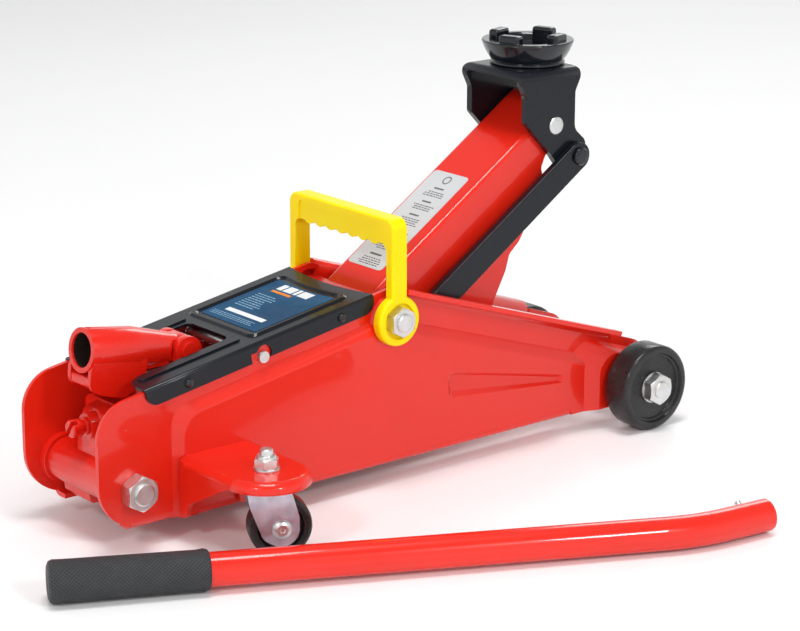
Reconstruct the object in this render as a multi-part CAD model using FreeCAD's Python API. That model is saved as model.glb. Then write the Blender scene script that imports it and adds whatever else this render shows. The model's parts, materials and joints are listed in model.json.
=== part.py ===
import FreeCAD, Part
import math
import os

# Hydraulic trolley jack, two tonnes. Millimetres, +Z up, +X towards the saddle and the big
# wheels, -X towards the pump, +Y to the operator's left. The origin is on the floor, on the
# mid-plane, halfway along the chassis. The jack is modelled part raised, its loose pump lever
# beside it on the floor.

V = FreeCAD.Vector
X_AXIS = V(1, 0, 0)
Y_AXIS = V(0, 1, 0)
Z_AXIS = V(0, 0, 1)
RIGHT = -1
LEFT = 1
SIDES = (("right", RIGHT), ("left", LEFT))

# Fits
RUNNING = 0.05          # radial clearance of a pin that turns in a hole

# Chassis side plates
CHASSIS_REAR = -225.0
SHEET = 3.0             # steel sheet of the side plates
PLATE_FACE = 42.0       # outer face of the flat sheet, from the mid-plane
PANEL_FACE = 46.0       # outer face of the raised panel
BOSS_FACE = 50.0        # outer face of the boss around the front axle
FLANGE_EDGE = 54.0      # outer edge of the front top flange
PLATE_BOTTOM = 14.0
TOP_SLOPE = math.radians(9.73)
FLANGE_SLOPE = math.radians(18.2)
TOP_AT_REAR = 89.8      # height of the sloping top edge, carried back to the rear face
FLANGE_START = -2.5
FLANGE_END = 182.0
FLANGE_TOP = 127.2      # height of the flange's top face at FLANGE_START
PLATE_FRONT = 214.0
FLOOR_FLANGE = 12.5     # underside of the bottom flange
FLOOR_FLANGE_EDGE = 30.0

# Axes across the chassis, as (x, z)
REAR_BOLT = (-200.0, 37.0)
FRONT_AXLE = (196.0, 29.0)
MAIN_PIVOT = (-9.5, 108.0)
SPRING_ROD = (-107.8, 101.7)

# Fasteners
M12 = 6.0
M14 = 7.0
NUT_M12 = 19.0          # across flats
NUT_M14 = 19.5
NUT_PIVOT = 17.0         # the main pivot bolt has a smaller head
NUT_M8 = 13.0

# Front wheels
WHEEL_R = 29.0
WHEEL_INNER = 53.5
WHEEL_OUTER = 73.5

# Casters
CASTER_AXIS = (-145.0, 96.6)
CASTER_TURN = -26.7     # how far both casters have swivelled from straight ahead, in degrees
CASTER_TRAIL = 7.0
CASTER_R = 19.0
CASTER_WIDTH = 14.0
BRACKET_TOP = 53.0
BRACKET_R = 26.5
BRACKET_SHEET = 3.0
FORK_SHEET = 1.8
FORK_TOP = 45.5

# Lift arm: a channel whose walls deepen towards the crank
ARM_LENGTH = 180.5
ARM_ANGLE = 33.8        # above level, as modelled
ARM_HALF = 24.0
ARM_SHEET = 4.0
ARM_TOP = 9.0           # top face above the line of the two pivots
CRANK_R = 58.0
CRANK_ANGLE = -115.75   # from the arm's line
ROLLER_R = 11.0

# Saddle bracket and parallel links, offsets from the pin at the arm's tip
EAR_INNER = 24.6
EAR_SHEET = 5.0
BRACKET_LID = 37.6
LINK_OFFSET = (16.5, -21.5)
LINK_HALF = 9.0
LINK_INNER = 30.2
LINK_SHEET = 5.0

# Saddle
SADDLE_R = 30.3
SADDLE_TURN = 18.0      # swivel of the four lugs, in degrees
SADDLE_X = 0.5          # ahead of the bracket pin

# Hydraulic unit
UNIT_AXIS = 55.0        # height of the ram
RAM_R = 13.0
BLOCK_FRONT = -130.0
TANK_FRONT = -74.0
TANK_R = 24.0
CYLINDER_R = 18.0
RAM_END = -14.2         # face that pushes the crank roller
RAM_HEAD = 8.0
RAM_LENGTH = 105.0

# Pump
SOCKET_PIVOT = (-140.0, 104.0)
SOCKET_MOUTH = (-208.0, 114.5)
SOCKET_R = 13.5
SOCKET_BORE = 10.5
PLUNGER_X = -160.0
PLUNGER_R = 6.0
VALVE_Z = 67.5
TOWER_TOP = 84.0

# Carry handle
EYE_R = 16.0
EYE_INNER = 46.6
EYE_OUTER = 53.0
HANDLE_TOP = 173.0
HANDLE_WIDTH = 12.0

# Pump lever
LEVER_R = 10.0
GRIP_R = 12.5
GRIP_LENGTH = 91.0
LEVER_START = V(-283.9, -78.9, 12.55)
LEVER_HEADING = -25.95
LEVER_DIP = 0.33
LEVER_STRAIGHT = 381.5
LEVER_BEND = 19.5
LEVER_BEND_R = 120.0
LEVER_END = 53.5


# ---------------------------------------------------------------- helpers

def rod(x, z, y0, y1, r):
    """Cylinder along Y."""
    return Part.makeCylinder(r, y1 - y0, V(x, y0, z), Y_AXIS)


def post(x, y, z0, z1, r):
    """Cylinder along Z."""
    return Part.makeCylinder(r, z1 - z0, V(x, y, z0), Z_AXIS)


def bar(x0, x1, y, z, r):
    """Cylinder along X."""
    return Part.makeCylinder(r, x1 - x0, V(x0, y, z), X_AXIS)


def block(x0, x1, y0, y1, z0, z1):
    return Part.makeBox(x1 - x0, y1 - y0, z1 - z0, V(x0, y0, z0))


def rounded_wire(corners, place):
    """Closed wire through corners (a, b, radius); place maps (a, b) to a point in space."""
    pts = [V(a, b, 0) for a, b, r in corners]
    ends = []
    count = len(pts)
    for i in range(count):
        here = pts[i]
        back = (pts[i - 1] - here).normalize()
        ahead = (pts[(i + 1) % count] - here).normalize()
        radius = corners[i][2]
        half = math.acos(max(-1.0, min(1.0, back.dot(ahead)))) / 2
        if radius <= 0:
            ends.append((here, None, here))
            continue
        run = radius / math.tan(half)
        centre = here + (back + ahead).normalize() * (radius / math.sin(half))
        middle = centre + (here - centre).normalize() * radius
        ends.append((here + back * run, middle, here + ahead * run))
    edges = []
    for i in range(count):
        start, middle, end = ends[i]
        if middle is not None:
            edges.append(Part.Arc(place(start), place(middle), place(end)).toShape())
        following = ends[(i + 1) % count][0]
        if (following - end).Length > 1e-6:
            edges.append(Part.LineSegment(place(end), place(following)).toShape())
    return Part.Wire(edges)


def side_wire(corners, y):
    """Rounded outline in the XZ plane at y."""
    return rounded_wire(corners, lambda p: V(p.x, y, p.y))


def side_prism(corners, y0, y1):
    """Rounded XZ outline, extruded from y0 to y1."""
    return Part.Face(side_wire(corners, y0)).extrude(V(0, y1 - y0, 0))


def plan_prism(corners, z0, z1):
    """Rounded XY outline, extruded from z0 to z1."""
    wire = rounded_wire(corners, lambda p: V(p.x, p.y, z0))
    return Part.Face(wire).extrude(V(0, 0, z1 - z0))


def pressed(low, high, y0, y1):
    """Solid between two outlines with the same corners: the form of a pressed panel."""
    return Part.makeLoft([side_wire(low, y0), side_wire(high, y1)], True, True)


def eased_panel(low, high, y0, y1):
    """Pressed form whose convex bends are rounded, as sheet metal comes out of a die."""
    form = pressed(low, high, y0, y1)
    return eased(form, DIE_RADIUS, lambda e: abs(e.BoundBox.YMin - y1) < 1e-4
                 and abs(e.BoundBox.YMax - y1) < 1e-4)


def mirrored(shape):
    return shape.mirror(V(0, 0, 0), Y_AXIS)


def on_side(shape, side):
    """Shapes are drawn on the right, where y is negative; the left one is the mirror."""
    return shape if side == RIGHT else mirrored(shape)


def moved(shape, base, turn):
    """Turn the shape about the origin, then carry it to base."""
    shape.Placement = FreeCAD.Placement(base, turn).multiply(shape.Placement)
    return shape


def turned(profile, base, direction=Z_AXIS):
    """Solid of revolution; profile is a list of (radius, height) along the direction."""
    points = [V(r, 0, h) for r, h in profile]
    points.append(points[0])
    solid = Part.Face(Part.makePolygon(points)).revolve(V(0, 0, 0), Z_AXIS, 360)
    return moved(solid, base, FreeCAD.Rotation(Z_AXIS, direction))


def hex_prism(across_flats, height, base, direction, turn=0.0):
    """Hexagonal nut or head, with its corners taken off both ends at 30 degrees."""
    radius = across_flats / math.sqrt(3)
    points = []
    for i in range(7):
        angle = math.radians(60 * i + turn)
        points.append(V(radius * math.cos(angle), radius * math.sin(angle), 0))
    body = Part.Face(Part.makePolygon(points)).extrude(V(0, 0, height))
    edge = across_flats / 2
    wide = radius + 0.05
    rise = (wide - edge) * math.tan(math.radians(30))
    barrel = turned([(0, 0), (edge, 0), (wide, rise), (wide, height - rise), (edge, height),
                     (0, height)], V(0, 0, 0))
    return moved(body.common(barrel), base, FreeCAD.Rotation(Z_AXIS, direction))


def bolt_end(x, z, y, side, r):
    """Chamfered end of a bolt that sticks 1.5 mm out of its nut."""
    out = V(0, side, 0)
    return turned([(0, 0), (r, 0), (r, 0.8), (r - 1.0, 1.5), (0, 1.5)], V(x, y, z), out)


def eased(shape, radius, wanted):
    """Fillet the edges that wanted(edge) picks."""
    edges = [edge for edge in shape.Edges if wanted(edge)]
    return shape.makeFillet(radius, edges)


def along(edge, direction):
    """True for a straight edge parallel to direction."""
    if not isinstance(edge.Curve, (Part.Line, Part.LineSegment)):
        return False
    run = edge.Vertexes[-1].Point - edge.Vertexes[0].Point
    return abs(abs(run.normalize().dot(direction)) - 1) < 1e-6


# ---------------------------------------------------------------- chassis

def top_edge(x):
    """Sloping top edge of the rear two thirds of a side plate."""
    return TOP_AT_REAR + (x - CHASSIS_REAR) * math.tan(TOP_SLOPE)


def flange_top(x):
    """Top face of the flange that falls away towards the front."""
    return FLANGE_TOP - (x - FLANGE_START) * math.tan(FLANGE_SLOPE)


def crossing(rise, fall):
    """Where a line rise below the top edge meets a line fall below the flange."""
    a = TOP_AT_REAR - rise - CHASSIS_REAR * math.tan(TOP_SLOPE)
    b = FLANGE_TOP - fall + FLANGE_START * math.tan(FLANGE_SLOPE)
    x = (b - a) / (math.tan(TOP_SLOPE) + math.tan(FLANGE_SLOPE))
    return x, a + x * math.tan(TOP_SLOPE)


FLANGE_DROP = 7.4       # from the flange's top face to where its bend meets the sheet
NOSE_DROP = 4.5         # from the same line to the sheet's edge ahead of the flange
NOSE_R = 15.0
PANEL_MARGIN = 16.5     # from the top edge down to the foot of the panel's bevel
PANEL_BEVEL = 7.0
DIE_RADIUS = 3.0
BOSS_BEVEL = 7.0
BOSS_MARGIN = 10.6      # from the sloping flange's top face down to the boss


def plate_outline():
    peak = FLANGE_START - 7.0
    return [
        (CHASSIS_REAR, PLATE_BOTTOM, 30.0),
        (CHASSIS_REAR, TOP_AT_REAR, 24.0),
        (peak, top_edge(peak), 4.0),
        (FLANGE_START, flange_top(FLANGE_START) - 2.5, 2.0),
        (FLANGE_START + 0.5, flange_top(FLANGE_START) - FLANGE_DROP, 0.0),
        (FLANGE_END, flange_top(FLANGE_END) - FLANGE_DROP, 0.0),
        (FLANGE_END + 1.0, flange_top(FLANGE_END) - NOSE_DROP, 0.0),
        (PLATE_FRONT, flange_top(PLATE_FRONT) - NOSE_DROP, NOSE_R),
        (PLATE_FRONT, PLATE_BOTTOM, NOSE_R),
    ]


def panel_outline(inset):
    rear = CHASSIS_REAR + 51.0 + inset
    margin = PANEL_MARGIN + inset
    fall = PANEL_MARGIN + inset + 5.0
    ridge = crossing(margin, fall)
    front = PLATE_FRONT + 4.0
    return [
        (rear, PLATE_BOTTOM - 6.0, 0.0),
        (rear, top_edge(rear) - margin, 14.0),
        (ridge[0], ridge[1], 14.0),
        (front, flange_top(front) - fall, 0.0),
        (front, PLATE_BOTTOM - 6.0, 0.0),
    ]


def boss_outline(inset):
    left = 145.0 + inset * 3.0
    front = PLATE_FRONT + 6.0
    low = PLATE_BOTTOM - 8.0
    return [
        (left, low, 0.0),
        (front, low, 0.0),
        (front, flange_top(front) - BOSS_MARGIN - inset * 0.7, 0.0),
        (left + 16.0, flange_top(left + 16.0) - BOSS_MARGIN - inset * 0.7, 14.0),
        (left, 55.0 - inset * 0.7, 14.0),
    ]


def wedge_outline(inset):
    """Tapering stiffening bead, tall at the rear and low at the front."""
    return [
        (35.0 + inset, 65.5 - inset * 1.1, 4.5),
        (36.5 + inset, 47.5 + inset * 1.1, 4.5),
        (136.0 - inset, 38.0 + inset * 0.5, 0.6),
        (136.0 - inset, 43.6 - inset * 0.5, 0.6),
    ]


def bend_profile(x, face):
    """Section of the bottom flange, bent inwards with a round corner, at a plane of given x."""
    outer = 6.0
    inner = outer - SHEET
    base = FLOOR_FLANGE
    corner = (face - outer, base + outer)
    k = math.sqrt(0.5)

    def at(w, z):
        return V(x, -w, z)

    edges = [
        Part.LineSegment(at(FLOOR_FLANGE_EDGE, base), at(corner[0], base)).toShape(),
        Part.Arc(at(corner[0], base), at(corner[0] + outer * k, corner[1] - outer * k),
                 at(face, corner[1])).toShape(),
        Part.LineSegment(at(face, corner[1]), at(face - SHEET, corner[1])).toShape(),
        Part.Arc(at(face - SHEET, corner[1]),
                 at(corner[0] + inner * k, corner[1] - inner * k),
                 at(corner[0], base + SHEET)).toShape(),
        Part.LineSegment(at(corner[0], base + SHEET),
                         at(FLOOR_FLANGE_EDGE, base + SHEET)).toShape(),
        Part.LineSegment(at(FLOOR_FLANGE_EDGE, base + SHEET),
                         at(FLOOR_FLANGE_EDGE, base)).toShape(),
    ]
    return Part.Wire(edges)


FLANGE_BACK = CHASSIS_REAR + 21.0
PANEL_FOOT = CHASSIS_REAR + 51.0
FLANGE_NOSE = 144.0
BEND_TOP = FLOOR_FLANGE + 6.0


def bottom_flange():
    rear = Part.makeLoft([bend_profile(FLANGE_BACK, PLATE_FACE),
                          bend_profile(PANEL_FOOT, PLATE_FACE)], True, True)
    step = Part.makeLoft([bend_profile(PANEL_FOOT, PLATE_FACE),
                          bend_profile(PANEL_FOOT + PANEL_BEVEL, PANEL_FACE)], True, True)
    front = Part.makeLoft([bend_profile(PANEL_FOOT + PANEL_BEVEL, PANEL_FACE),
                           bend_profile(FLANGE_NOSE, PANEL_FACE)], True, True)
    return [rear, step, front]


def top_flange():
    """Flange bent outwards along the front slope, with its round inner bend."""
    outer = 7.0
    inner = outer - SHEET
    k = math.sqrt(0.5)
    w0 = PLATE_FACE + inner
    length = (FLANGE_END - FLANGE_START) / math.cos(FLANGE_SLOPE)

    def at(w, v):
        return V(0, -w, v)

    foot = PLATE_FACE - SHEET
    edges = [
        Part.LineSegment(at(FLANGE_EDGE, 0), at(w0, 0)).toShape(),
        Part.Arc(at(w0, 0), at(w0 - outer * k, -outer + outer * k), at(foot, -outer)).toShape(),
        Part.LineSegment(at(foot, -outer), at(foot, -outer - 4)).toShape(),
        Part.LineSegment(at(foot, -outer - 4), at(PLATE_FACE, -outer - 4)).toShape(),
        Part.LineSegment(at(PLATE_FACE, -outer - 4), at(PLATE_FACE, -outer)).toShape(),
        Part.Arc(at(PLATE_FACE, -outer), at(w0 - inner * k, -outer + inner * k),
                 at(w0, -SHEET)).toShape(),
        Part.LineSegment(at(w0, -SHEET), at(FLANGE_EDGE, -SHEET)).toShape(),
        Part.LineSegment(at(FLANGE_EDGE, -SHEET), at(FLANGE_EDGE, 0)).toShape(),
    ]
    strip = Part.Face(Part.Wire(edges)).extrude(V(length, 0, 0))
    turn = FreeCAD.Rotation(Y_AXIS, math.degrees(FLANGE_SLOPE))
    return moved(strip, V(FLANGE_START, 0, FLANGE_TOP), turn)


def pivot_seat(y):
    """Round raised seat for the carry handle, at the top corner of the panel."""
    height = PANEL_FACE - PLATE_FACE
    return Part.makeCone(15.0, 12.0, height, V(MAIN_PIVOT[0], y, MAIN_PIVOT[1]), V(0, -1, 0))


def side_plate():
    """Right side plate: flat sheet, raised panel, axle boss, bead, and two flanges."""
    far = 70.0
    trim = side_prism(plate_outline(), -far, -20.0)
    sheet = side_prism(plate_outline(), -PLATE_FACE, -PLATE_FACE + SHEET)
    panel = eased_panel(panel_outline(0), panel_outline(PANEL_BEVEL), -PLATE_FACE, -PANEL_FACE)
    boss = pressed(boss_outline(0), boss_outline(BOSS_BEVEL), -PLATE_FACE, -BOSS_FACE)
    hollow_panel = pressed(panel_outline(0), panel_outline(PANEL_BEVEL),
                           -PLATE_FACE + SHEET, -PANEL_FACE + SHEET)
    hollow_boss = pressed(boss_outline(0), boss_outline(BOSS_BEVEL),
                          -PLATE_FACE + SHEET, -BOSS_FACE + SHEET)
    seat = pivot_seat(-PLATE_FACE)
    plate = sheet.fuse([panel, boss, seat]).common(trim)
    bead_depth = 2.4
    bead = pressed(wedge_outline(0), wedge_outline(3.0), -PANEL_FACE, -PANEL_FACE + bead_depth)
    swell = pressed(wedge_outline(0), wedge_outline(3.0),
                    -PANEL_FACE + SHEET, -PANEL_FACE + SHEET + bead_depth)
    plate = plate.cut(hollow_panel).cut(hollow_boss).cut(pivot_seat(-PLATE_FACE + SHEET))
    plate = plate.cut(bead)
    below = block(FLANGE_BACK, FLANGE_NOSE, -far, -20.0, 0, BEND_TOP)
    plate = plate.cut(below)
    plate = plate.fuse([swell, top_flange()] + bottom_flange())
    holes = [
        rod(REAR_BOLT[0], REAR_BOLT[1], -far, 0, M14),
        rod(MAIN_PIVOT[0], MAIN_PIVOT[1], -far, 0, M12),
        rod(FRONT_AXLE[0], FRONT_AXLE[1], -far, 0, M12),
        rod(SPRING_ROD[0], SPRING_ROD[1], -far, 0, 3.6),
    ]
    return plate.cut(Part.makeCompound(holes)).removeSplitter()


# ---------------------------------------------------------------- cover

COVER_REAR = (-192.5, 97.2)      # rear edge of the top face, as (x, z)
COVER_LENGTH = 171.5
COVER_SHEET = 1.5
COVER_HALF = 43.7
COVER_SKIRT = 11.5
OPENING_HALF = 21.5
OPENING_LENGTH = 77.0
SKIRT_CORNER = 8.0
COVER_CORNER = 12.0             # beside the mouth of the opening
SCREW_PLACES = (30.0, 145.5)    # along the cover, from its rear edge
SCREW_DROP = -6.5
COVER_BOW = 193.0               # radius of the concave front edge


def tilted(shape):
    """From the cover's own frame, u along the slope and v up, to the jack's frame."""
    turn = FreeCAD.Rotation(Y_AXIS, -math.degrees(TOP_SLOPE))
    return moved(shape, V(COVER_REAR[0], 0, COVER_REAR[1]), turn)


def cover_point(u, y, v):
    """Point of the cover's own frame, in the jack's frame."""
    c = math.cos(TOP_SLOPE)
    s = math.sin(TOP_SLOPE)
    return V(COVER_REAR[0] + u * c - v * s, y, COVER_REAR[1] + u * s + v * c)


BOW_DEPTH = 5.0         # how far the cover's front edge curves in at the middle
BOW_R = 150.0


def bowed_field(u0, u1, half, radius):
    """Rectangle on the cover whose front side curves in like the cover's front edge."""
    return [(u0, -half, radius), (u1, -half, radius), (u1 - BOW_DEPTH, 0, BOW_R),
            (u1, half, radius), (u0, half, radius)]


def ridge_frame(u0, u1, half, width, height):
    """Raised ridge around a field of the cover, with sloping flanks."""
    def outline(inset, v):
        corners = bowed_field(u0 + inset, u1 - inset, half - inset, 5.0)
        return rounded_wire(corners, lambda p: V(p.x, p.y, v))

    flank = 1.2
    outer = Part.makeLoft([outline(0, 0), outline(flank, height)], True, True)
    inner = Part.makeLoft([outline(width, 0), outline(width - flank, height)], True, True)
    return outer.cut(inner)


def cover():
    """Pressed lid over the pump: open at the rear for the lever socket, skirts at the sides."""
    outer = block(0, COVER_LENGTH, -COVER_HALF, COVER_HALF, -COVER_SKIRT, 0)
    outer = eased(outer, 2.5, lambda e: along(e, X_AXIS) and e.Vertexes[0].Z > -1)
    half = COVER_HALF - COVER_SHEET
    inner = block(-1, COVER_LENGTH + 1, -half, half, -COVER_SKIRT - 1, -COVER_SHEET)
    shell = outer.cut(inner)
    opening = [(-9, -OPENING_HALF, 0), (OPENING_LENGTH, -OPENING_HALF, 5),
               (OPENING_LENGTH, OPENING_HALF, 5), (-9, OPENING_HALF, 0)]
    shell = shell.cut(plan_prism(opening, -20, 5))
    skirt = [(0, 6, 0), (0, -COVER_SKIRT, SKIRT_CORNER),
             (COVER_LENGTH, -COVER_SKIRT, SKIRT_CORNER), (COVER_LENGTH, 6, 0)]
    shell = shell.common(side_prism(skirt, -60, 60))
    for side in (RIGHT, LEFT):
        centre = OPENING_HALF + COVER_CORNER
        low, high = sorted((side * (OPENING_HALF - 1), side * centre))
        corner = block(-9, COVER_CORNER, low, high, -2.4, 5)
        shell = shell.cut(corner.cut(post(COVER_CORNER, side * centre, -2.4, 5, COVER_CORNER)))
    arch = post(COVER_LENGTH + math.sqrt(COVER_BOW ** 2 - COVER_HALF ** 2), 0, -20, 5, COVER_BOW)
    shell = shell.cut(arch.common(block(0, COVER_LENGTH + 1, -half, half, -20, 5)))
    shell = shell.fuse(ridge_frame(84.0, 161.0, 34.5, 4.2, 1.3))
    for side in (RIGHT, LEFT):
        rib = [(6, side * 25.5, 2.4), (79, side * 25.5, 2.4), (79, side * 31.0, 2.4),
               (6, side * 31.0, 2.4)]
        shell = shell.fuse(plan_prism(rib, -0.5, 1.1))
    u = (SPRING_ROD[0] - COVER_REAR[0]) / math.cos(TOP_SLOPE) - 0.4
    v = -8.0
    notch = rod(u, v, -60, 60, 5.4).fuse(block(u - 9.6, u - 2.0, -60, 60, -20, v + 2.5))
    shell = shell.cut(notch)
    for u in SCREW_PLACES:
        shell = shell.cut(rod(u, SCREW_DROP, -60, 60, 1.6))
    return tilted(shell.removeSplitter())


def cover_screws():
    """Four small round-head screws through the skirts into the side plates."""
    head = [(0, 0), (3.0, 0), (2.6, 1.1), (1.4, 1.7), (0, 1.8)]
    screws = []
    for u in SCREW_PLACES:
        place = cover_point(u, 0, SCREW_DROP)
        for side in (RIGHT, LEFT):
            base = V(place.x, side * COVER_HALF, place.z)
            top = turned(head, base, V(0, side, 0))
            stem = turned([(0, 0), (1.55, 0), (1.55, 6), (0, 6)],
                          V(place.x, side * COVER_HALF, place.z), V(0, -side, 0))
            screws.append(top.fuse(stem))
    return screws


def screw_holes():
    holes = []
    for u in SCREW_PLACES:
        place = cover_point(u, 0, SCREW_DROP)
        holes.append(rod(place.x, place.z, -50, 50, 1.55))
    return Part.makeCompound(holes)


def cover_label():
    return tilted(plan_prism(bowed_field(91.0, 153.5, 28.5, 2.0), 0, 0.3))


# ---------------------------------------------------------------- cross bolts, wheels

def cross_bolt(place, r, flats, half, nut):
    """Bolt across the chassis: hex head on the left, threaded end on the right."""
    head = hex_prism(flats, nut, V(place[0], half, place[1]), Y_AXIS, 30)
    shank = rod(place[0], place[1], -half - nut, half, r)
    return shank.fuse([head, bolt_end(place[0], place[1], -half - nut, RIGHT, r)])


def nut_on(place, r, flats, y, side, nut):
    """Hex nut whose inner face is at y; outwards is towards side."""
    body = hex_prism(flats, nut, V(place[0], y, place[1]), V(0, side, 0), 30)
    hole = rod(place[0], place[1], -90, 90, r)
    return body.cut(hole)


NUT_HEIGHT = 7.0
EYE_SEAT = 2.5          # how deep the nut sits in the carry handle's eye
SPACER_R = 9.0
HUB_GAP = 0.2
WHEEL_WEB = 69.5        # outer face of the wheel's recessed web
WASHER = 1.6


def washer(place, y0, y1, r_outer, r_hole):
    return rod(place[0], place[1], y0, y1, r_outer).cut(rod(place[0], place[1], y0, y1, r_hole))


def front_axle():
    half = WHEEL_WEB + 0.2 + WASHER + NUT_HEIGHT
    x, z = FRONT_AXLE
    return rod(x, z, -half, half, M12).fuse([bolt_end(x, z, -half, RIGHT, M12),
                                             bolt_end(x, z, half, LEFT, M12)])


def axle_washers():
    rings = []
    for side in (RIGHT, LEFT):
        inner = sorted((side * BOSS_FACE, side * (WHEEL_INNER - HUB_GAP)))
        outer = sorted((side * (WHEEL_WEB + HUB_GAP), side * (WHEEL_WEB + HUB_GAP + WASHER)))
        rings.append(washer(FRONT_AXLE, inner[0], inner[1], 11.0, M12))
        rings.append(washer(FRONT_AXLE, outer[0], outer[1], 10.6, M12))
    return rings


def front_wheel():
    """Right front wheel: solid tyre profile with a recessed web on both faces."""
    width = WHEEL_OUTER - WHEEL_INNER
    web = WHEEL_WEB - WHEEL_INNER
    r = WHEEL_R
    profile = [(M12 + RUNNING, 0), (13.0, 0), (14.0, 2.5), (22.0, 2.5), (23.0, 0), (r - 2.5, 0),
               (r - 0.7, 0.7), (r, 2.5), (r, width - 2.5), (r - 0.7, width - 0.7),
               (r - 2.5, width), (24.0, width), (23.0, width - 2.2), (21.8, width - 2.6),
               (21.2, web), (M12 + RUNNING, web)]
    return turned(profile, V(FRONT_AXLE[0], -WHEEL_INNER, FRONT_AXLE[1]), V(0, -1, 0))


# ---------------------------------------------------------------- casters

def caster_bracket():
    """Right caster bracket, welded to the side plate: round lid, rolled rim, two gussets."""
    cx, cy = CASTER_AXIS
    r = BRACKET_R
    wall = -PANEL_FACE
    rim = 7.0
    low = BRACKET_TOP - BRACKET_SHEET

    def lid(radius, inset, z0, z1):
        round_end = post(cx, -cy, z0, z1, radius)
        return round_end.fuse(block(cx - radius, cx + radius, -cy, wall - inset, z0, z1))

    solid = lid(r, 0, BRACKET_TOP - rim, BRACKET_TOP).removeSplitter()
    solid = eased(solid, 5.5, lambda e: e.BoundBox.ZMin > BRACKET_TOP - 0.1
                  and e.BoundBox.YMin < wall - 1)
    solid = solid.cut(lid(r - BRACKET_SHEET, BRACKET_SHEET, 0, low))
    gusset = rounded_wire([(wall, BRACKET_TOP - rim, 0), (wall, 15.5, 0), (wall - 6, 15.5, 4),
                           (wall - 8, 25, 8), (-cy + 2, BRACKET_TOP - rim, 0)],
                          lambda p: V(0, p.x, p.y))
    for x in (cx - r, cx + r - BRACKET_SHEET):
        plate = Part.Face(gusset).extrude(V(BRACKET_SHEET, 0, 0))
        plate.translate(V(x, 0, 0))
        solid = solid.fuse(plate)
    flange = side_prism([(cx - r, 15.5, 2), (cx - r, BRACKET_TOP - 2, 0),
                         (cx + r, BRACKET_TOP - 2, 0), (cx + r, 15.5, 2), (cx + r - 12, 15.5, 2),
                         (cx + r - 12, 38, 4), (cx - r + 12, 38, 4), (cx - r + 12, 15.5, 2)],
                        wall - BRACKET_SHEET, wall)
    solid = solid.fuse(flange)
    return solid.cut(post(cx, -cy, 0, 60, 4.0)).removeSplitter()


def caster_frame(shape):
    """From the caster's own frame, rolling along +X at its swivel axis, to the right side."""
    turn = FreeCAD.Rotation(Z_AXIS, CASTER_TURN)
    return moved(shape, V(CASTER_AXIS[0], -CASTER_AXIS[1], 0), turn)


def placed_caster(shape, side):
    """Both casters point the same way, so the left one is moved across, not mirrored."""
    shape = caster_frame(shape)
    if side == LEFT:
        shape.translate(V(0, 2 * CASTER_AXIS[1], 0))
    return shape


FORK_GAP = CASTER_WIDTH / 2 + 1.2
RACE_TOP = BRACKET_TOP - BRACKET_SHEET - 0.1


def caster_fork():
    """Pressed fork: two cheeks that taper to the axle, a lid and a bearing race on top."""
    gap = FORK_GAP
    outer = gap + FORK_SHEET
    cheek = [(-14.0, FORK_TOP, 1.5), (-11.5, 33.0, 6), (-3.9, 13.0, 9), (4.0, 8.5, 9.0),
             (17.4, 8.5, 10.3), (17.4, 26.0, 9), (12.0, FORK_TOP, 1.5)]
    solid = side_prism(cheek, -outer, -gap).fuse(side_prism(cheek, gap, outer))
    lid = block(-13.5, 11.5, -outer, outer, FORK_TOP - 2, FORK_TOP)
    race = turned([(0, 0), (15.0, 0), (14.0, 2.0), (11.0, RACE_TOP - FORK_TOP), (0, RACE_TOP - FORK_TOP)],
                  V(0, 0, FORK_TOP))
    solid = solid.fuse([lid, race])
    solid = solid.cut(post(0, 0, 30, 60, 4.0 + RUNNING))
    return solid.cut(rod(CASTER_TRAIL, CASTER_R, -20, 20, 3.0)).removeSplitter()


def caster_axle():
    """Rivet through both cheeks, with a dished head on each end."""
    reach = FORK_GAP + FORK_SHEET
    head = [(0, 0), (6.0, 0), (5.2, 1.2), (3.4, 2.2), (1.8, 2.2), (1.2, 1.4), (0, 1.4)]
    solid = rod(CASTER_TRAIL, CASTER_R, -reach, reach, 3.0)
    for side in (RIGHT, LEFT):
        solid = solid.fuse(turned(head, V(CASTER_TRAIL, side * reach, CASTER_R), V(0, side, 0)))
    return solid


def caster_wheel():
    half = CASTER_WIDTH / 2
    r = CASTER_R
    profile = [(3.0 + RUNNING, -half), (7.5, -half), (8.2, -half + 2.5), (13.0, -half + 2.5),
               (13.8, -half), (r - 2.4, -half), (r - 0.7, -half + 0.8), (r, -half + 2.6)]
    profile = profile + [(radius, -height) for radius, height in reversed(profile)]
    return turned(profile, V(CASTER_TRAIL, 0, CASTER_R), Y_AXIS)


STEM_TOP = 66.0
STEM_WASHER = 1.5
STEM_NUT = 8.0


def caster_stem():
    """Fixed swivel bolt: its head carries the fork, its top end goes through the bracket."""
    head = turned([(0, 0), (7.5, 0), (7.5, 3.2), (0, 3.2)], V(0, 0, FORK_TOP - 2.3 - 3.2))
    shank = post(0, 0, FORK_TOP - 3, STEM_TOP - 0.8, 4.0)
    tip = turned([(0, 0), (4.0, 0), (3.2, 0.8), (0, 0.8)], V(0, 0, STEM_TOP - 0.8))
    return head.fuse([shank, tip]).removeSplitter()


def caster_nut():
    base = BRACKET_TOP + STEM_WASHER
    nut = hex_prism(NUT_M8, STEM_NUT - 2.0, V(0, 0, base), Z_AXIS, 12)
    collar = turned([(0, 0), (5.9, 0), (5.9, 1.2), (5.2, 2.0), (0, 2.0)],
                    V(0, 0, base + STEM_NUT - 2.0))
    ring = post(0, 0, BRACKET_TOP, base, 7.8)
    return ring.fuse([nut, collar]).cut(post(0, 0, 0, 80, 4.0)).removeSplitter()


# ---------------------------------------------------------------- lift arm

def arm_place(shape):
    """From the arm's own frame, s along the pivots' line and n above it, to rest."""
    turn = FreeCAD.Rotation(Y_AXIS, -ARM_ANGLE)
    return moved(shape, V(MAIN_PIVOT[0], 0, MAIN_PIVOT[1]), turn)


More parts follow.
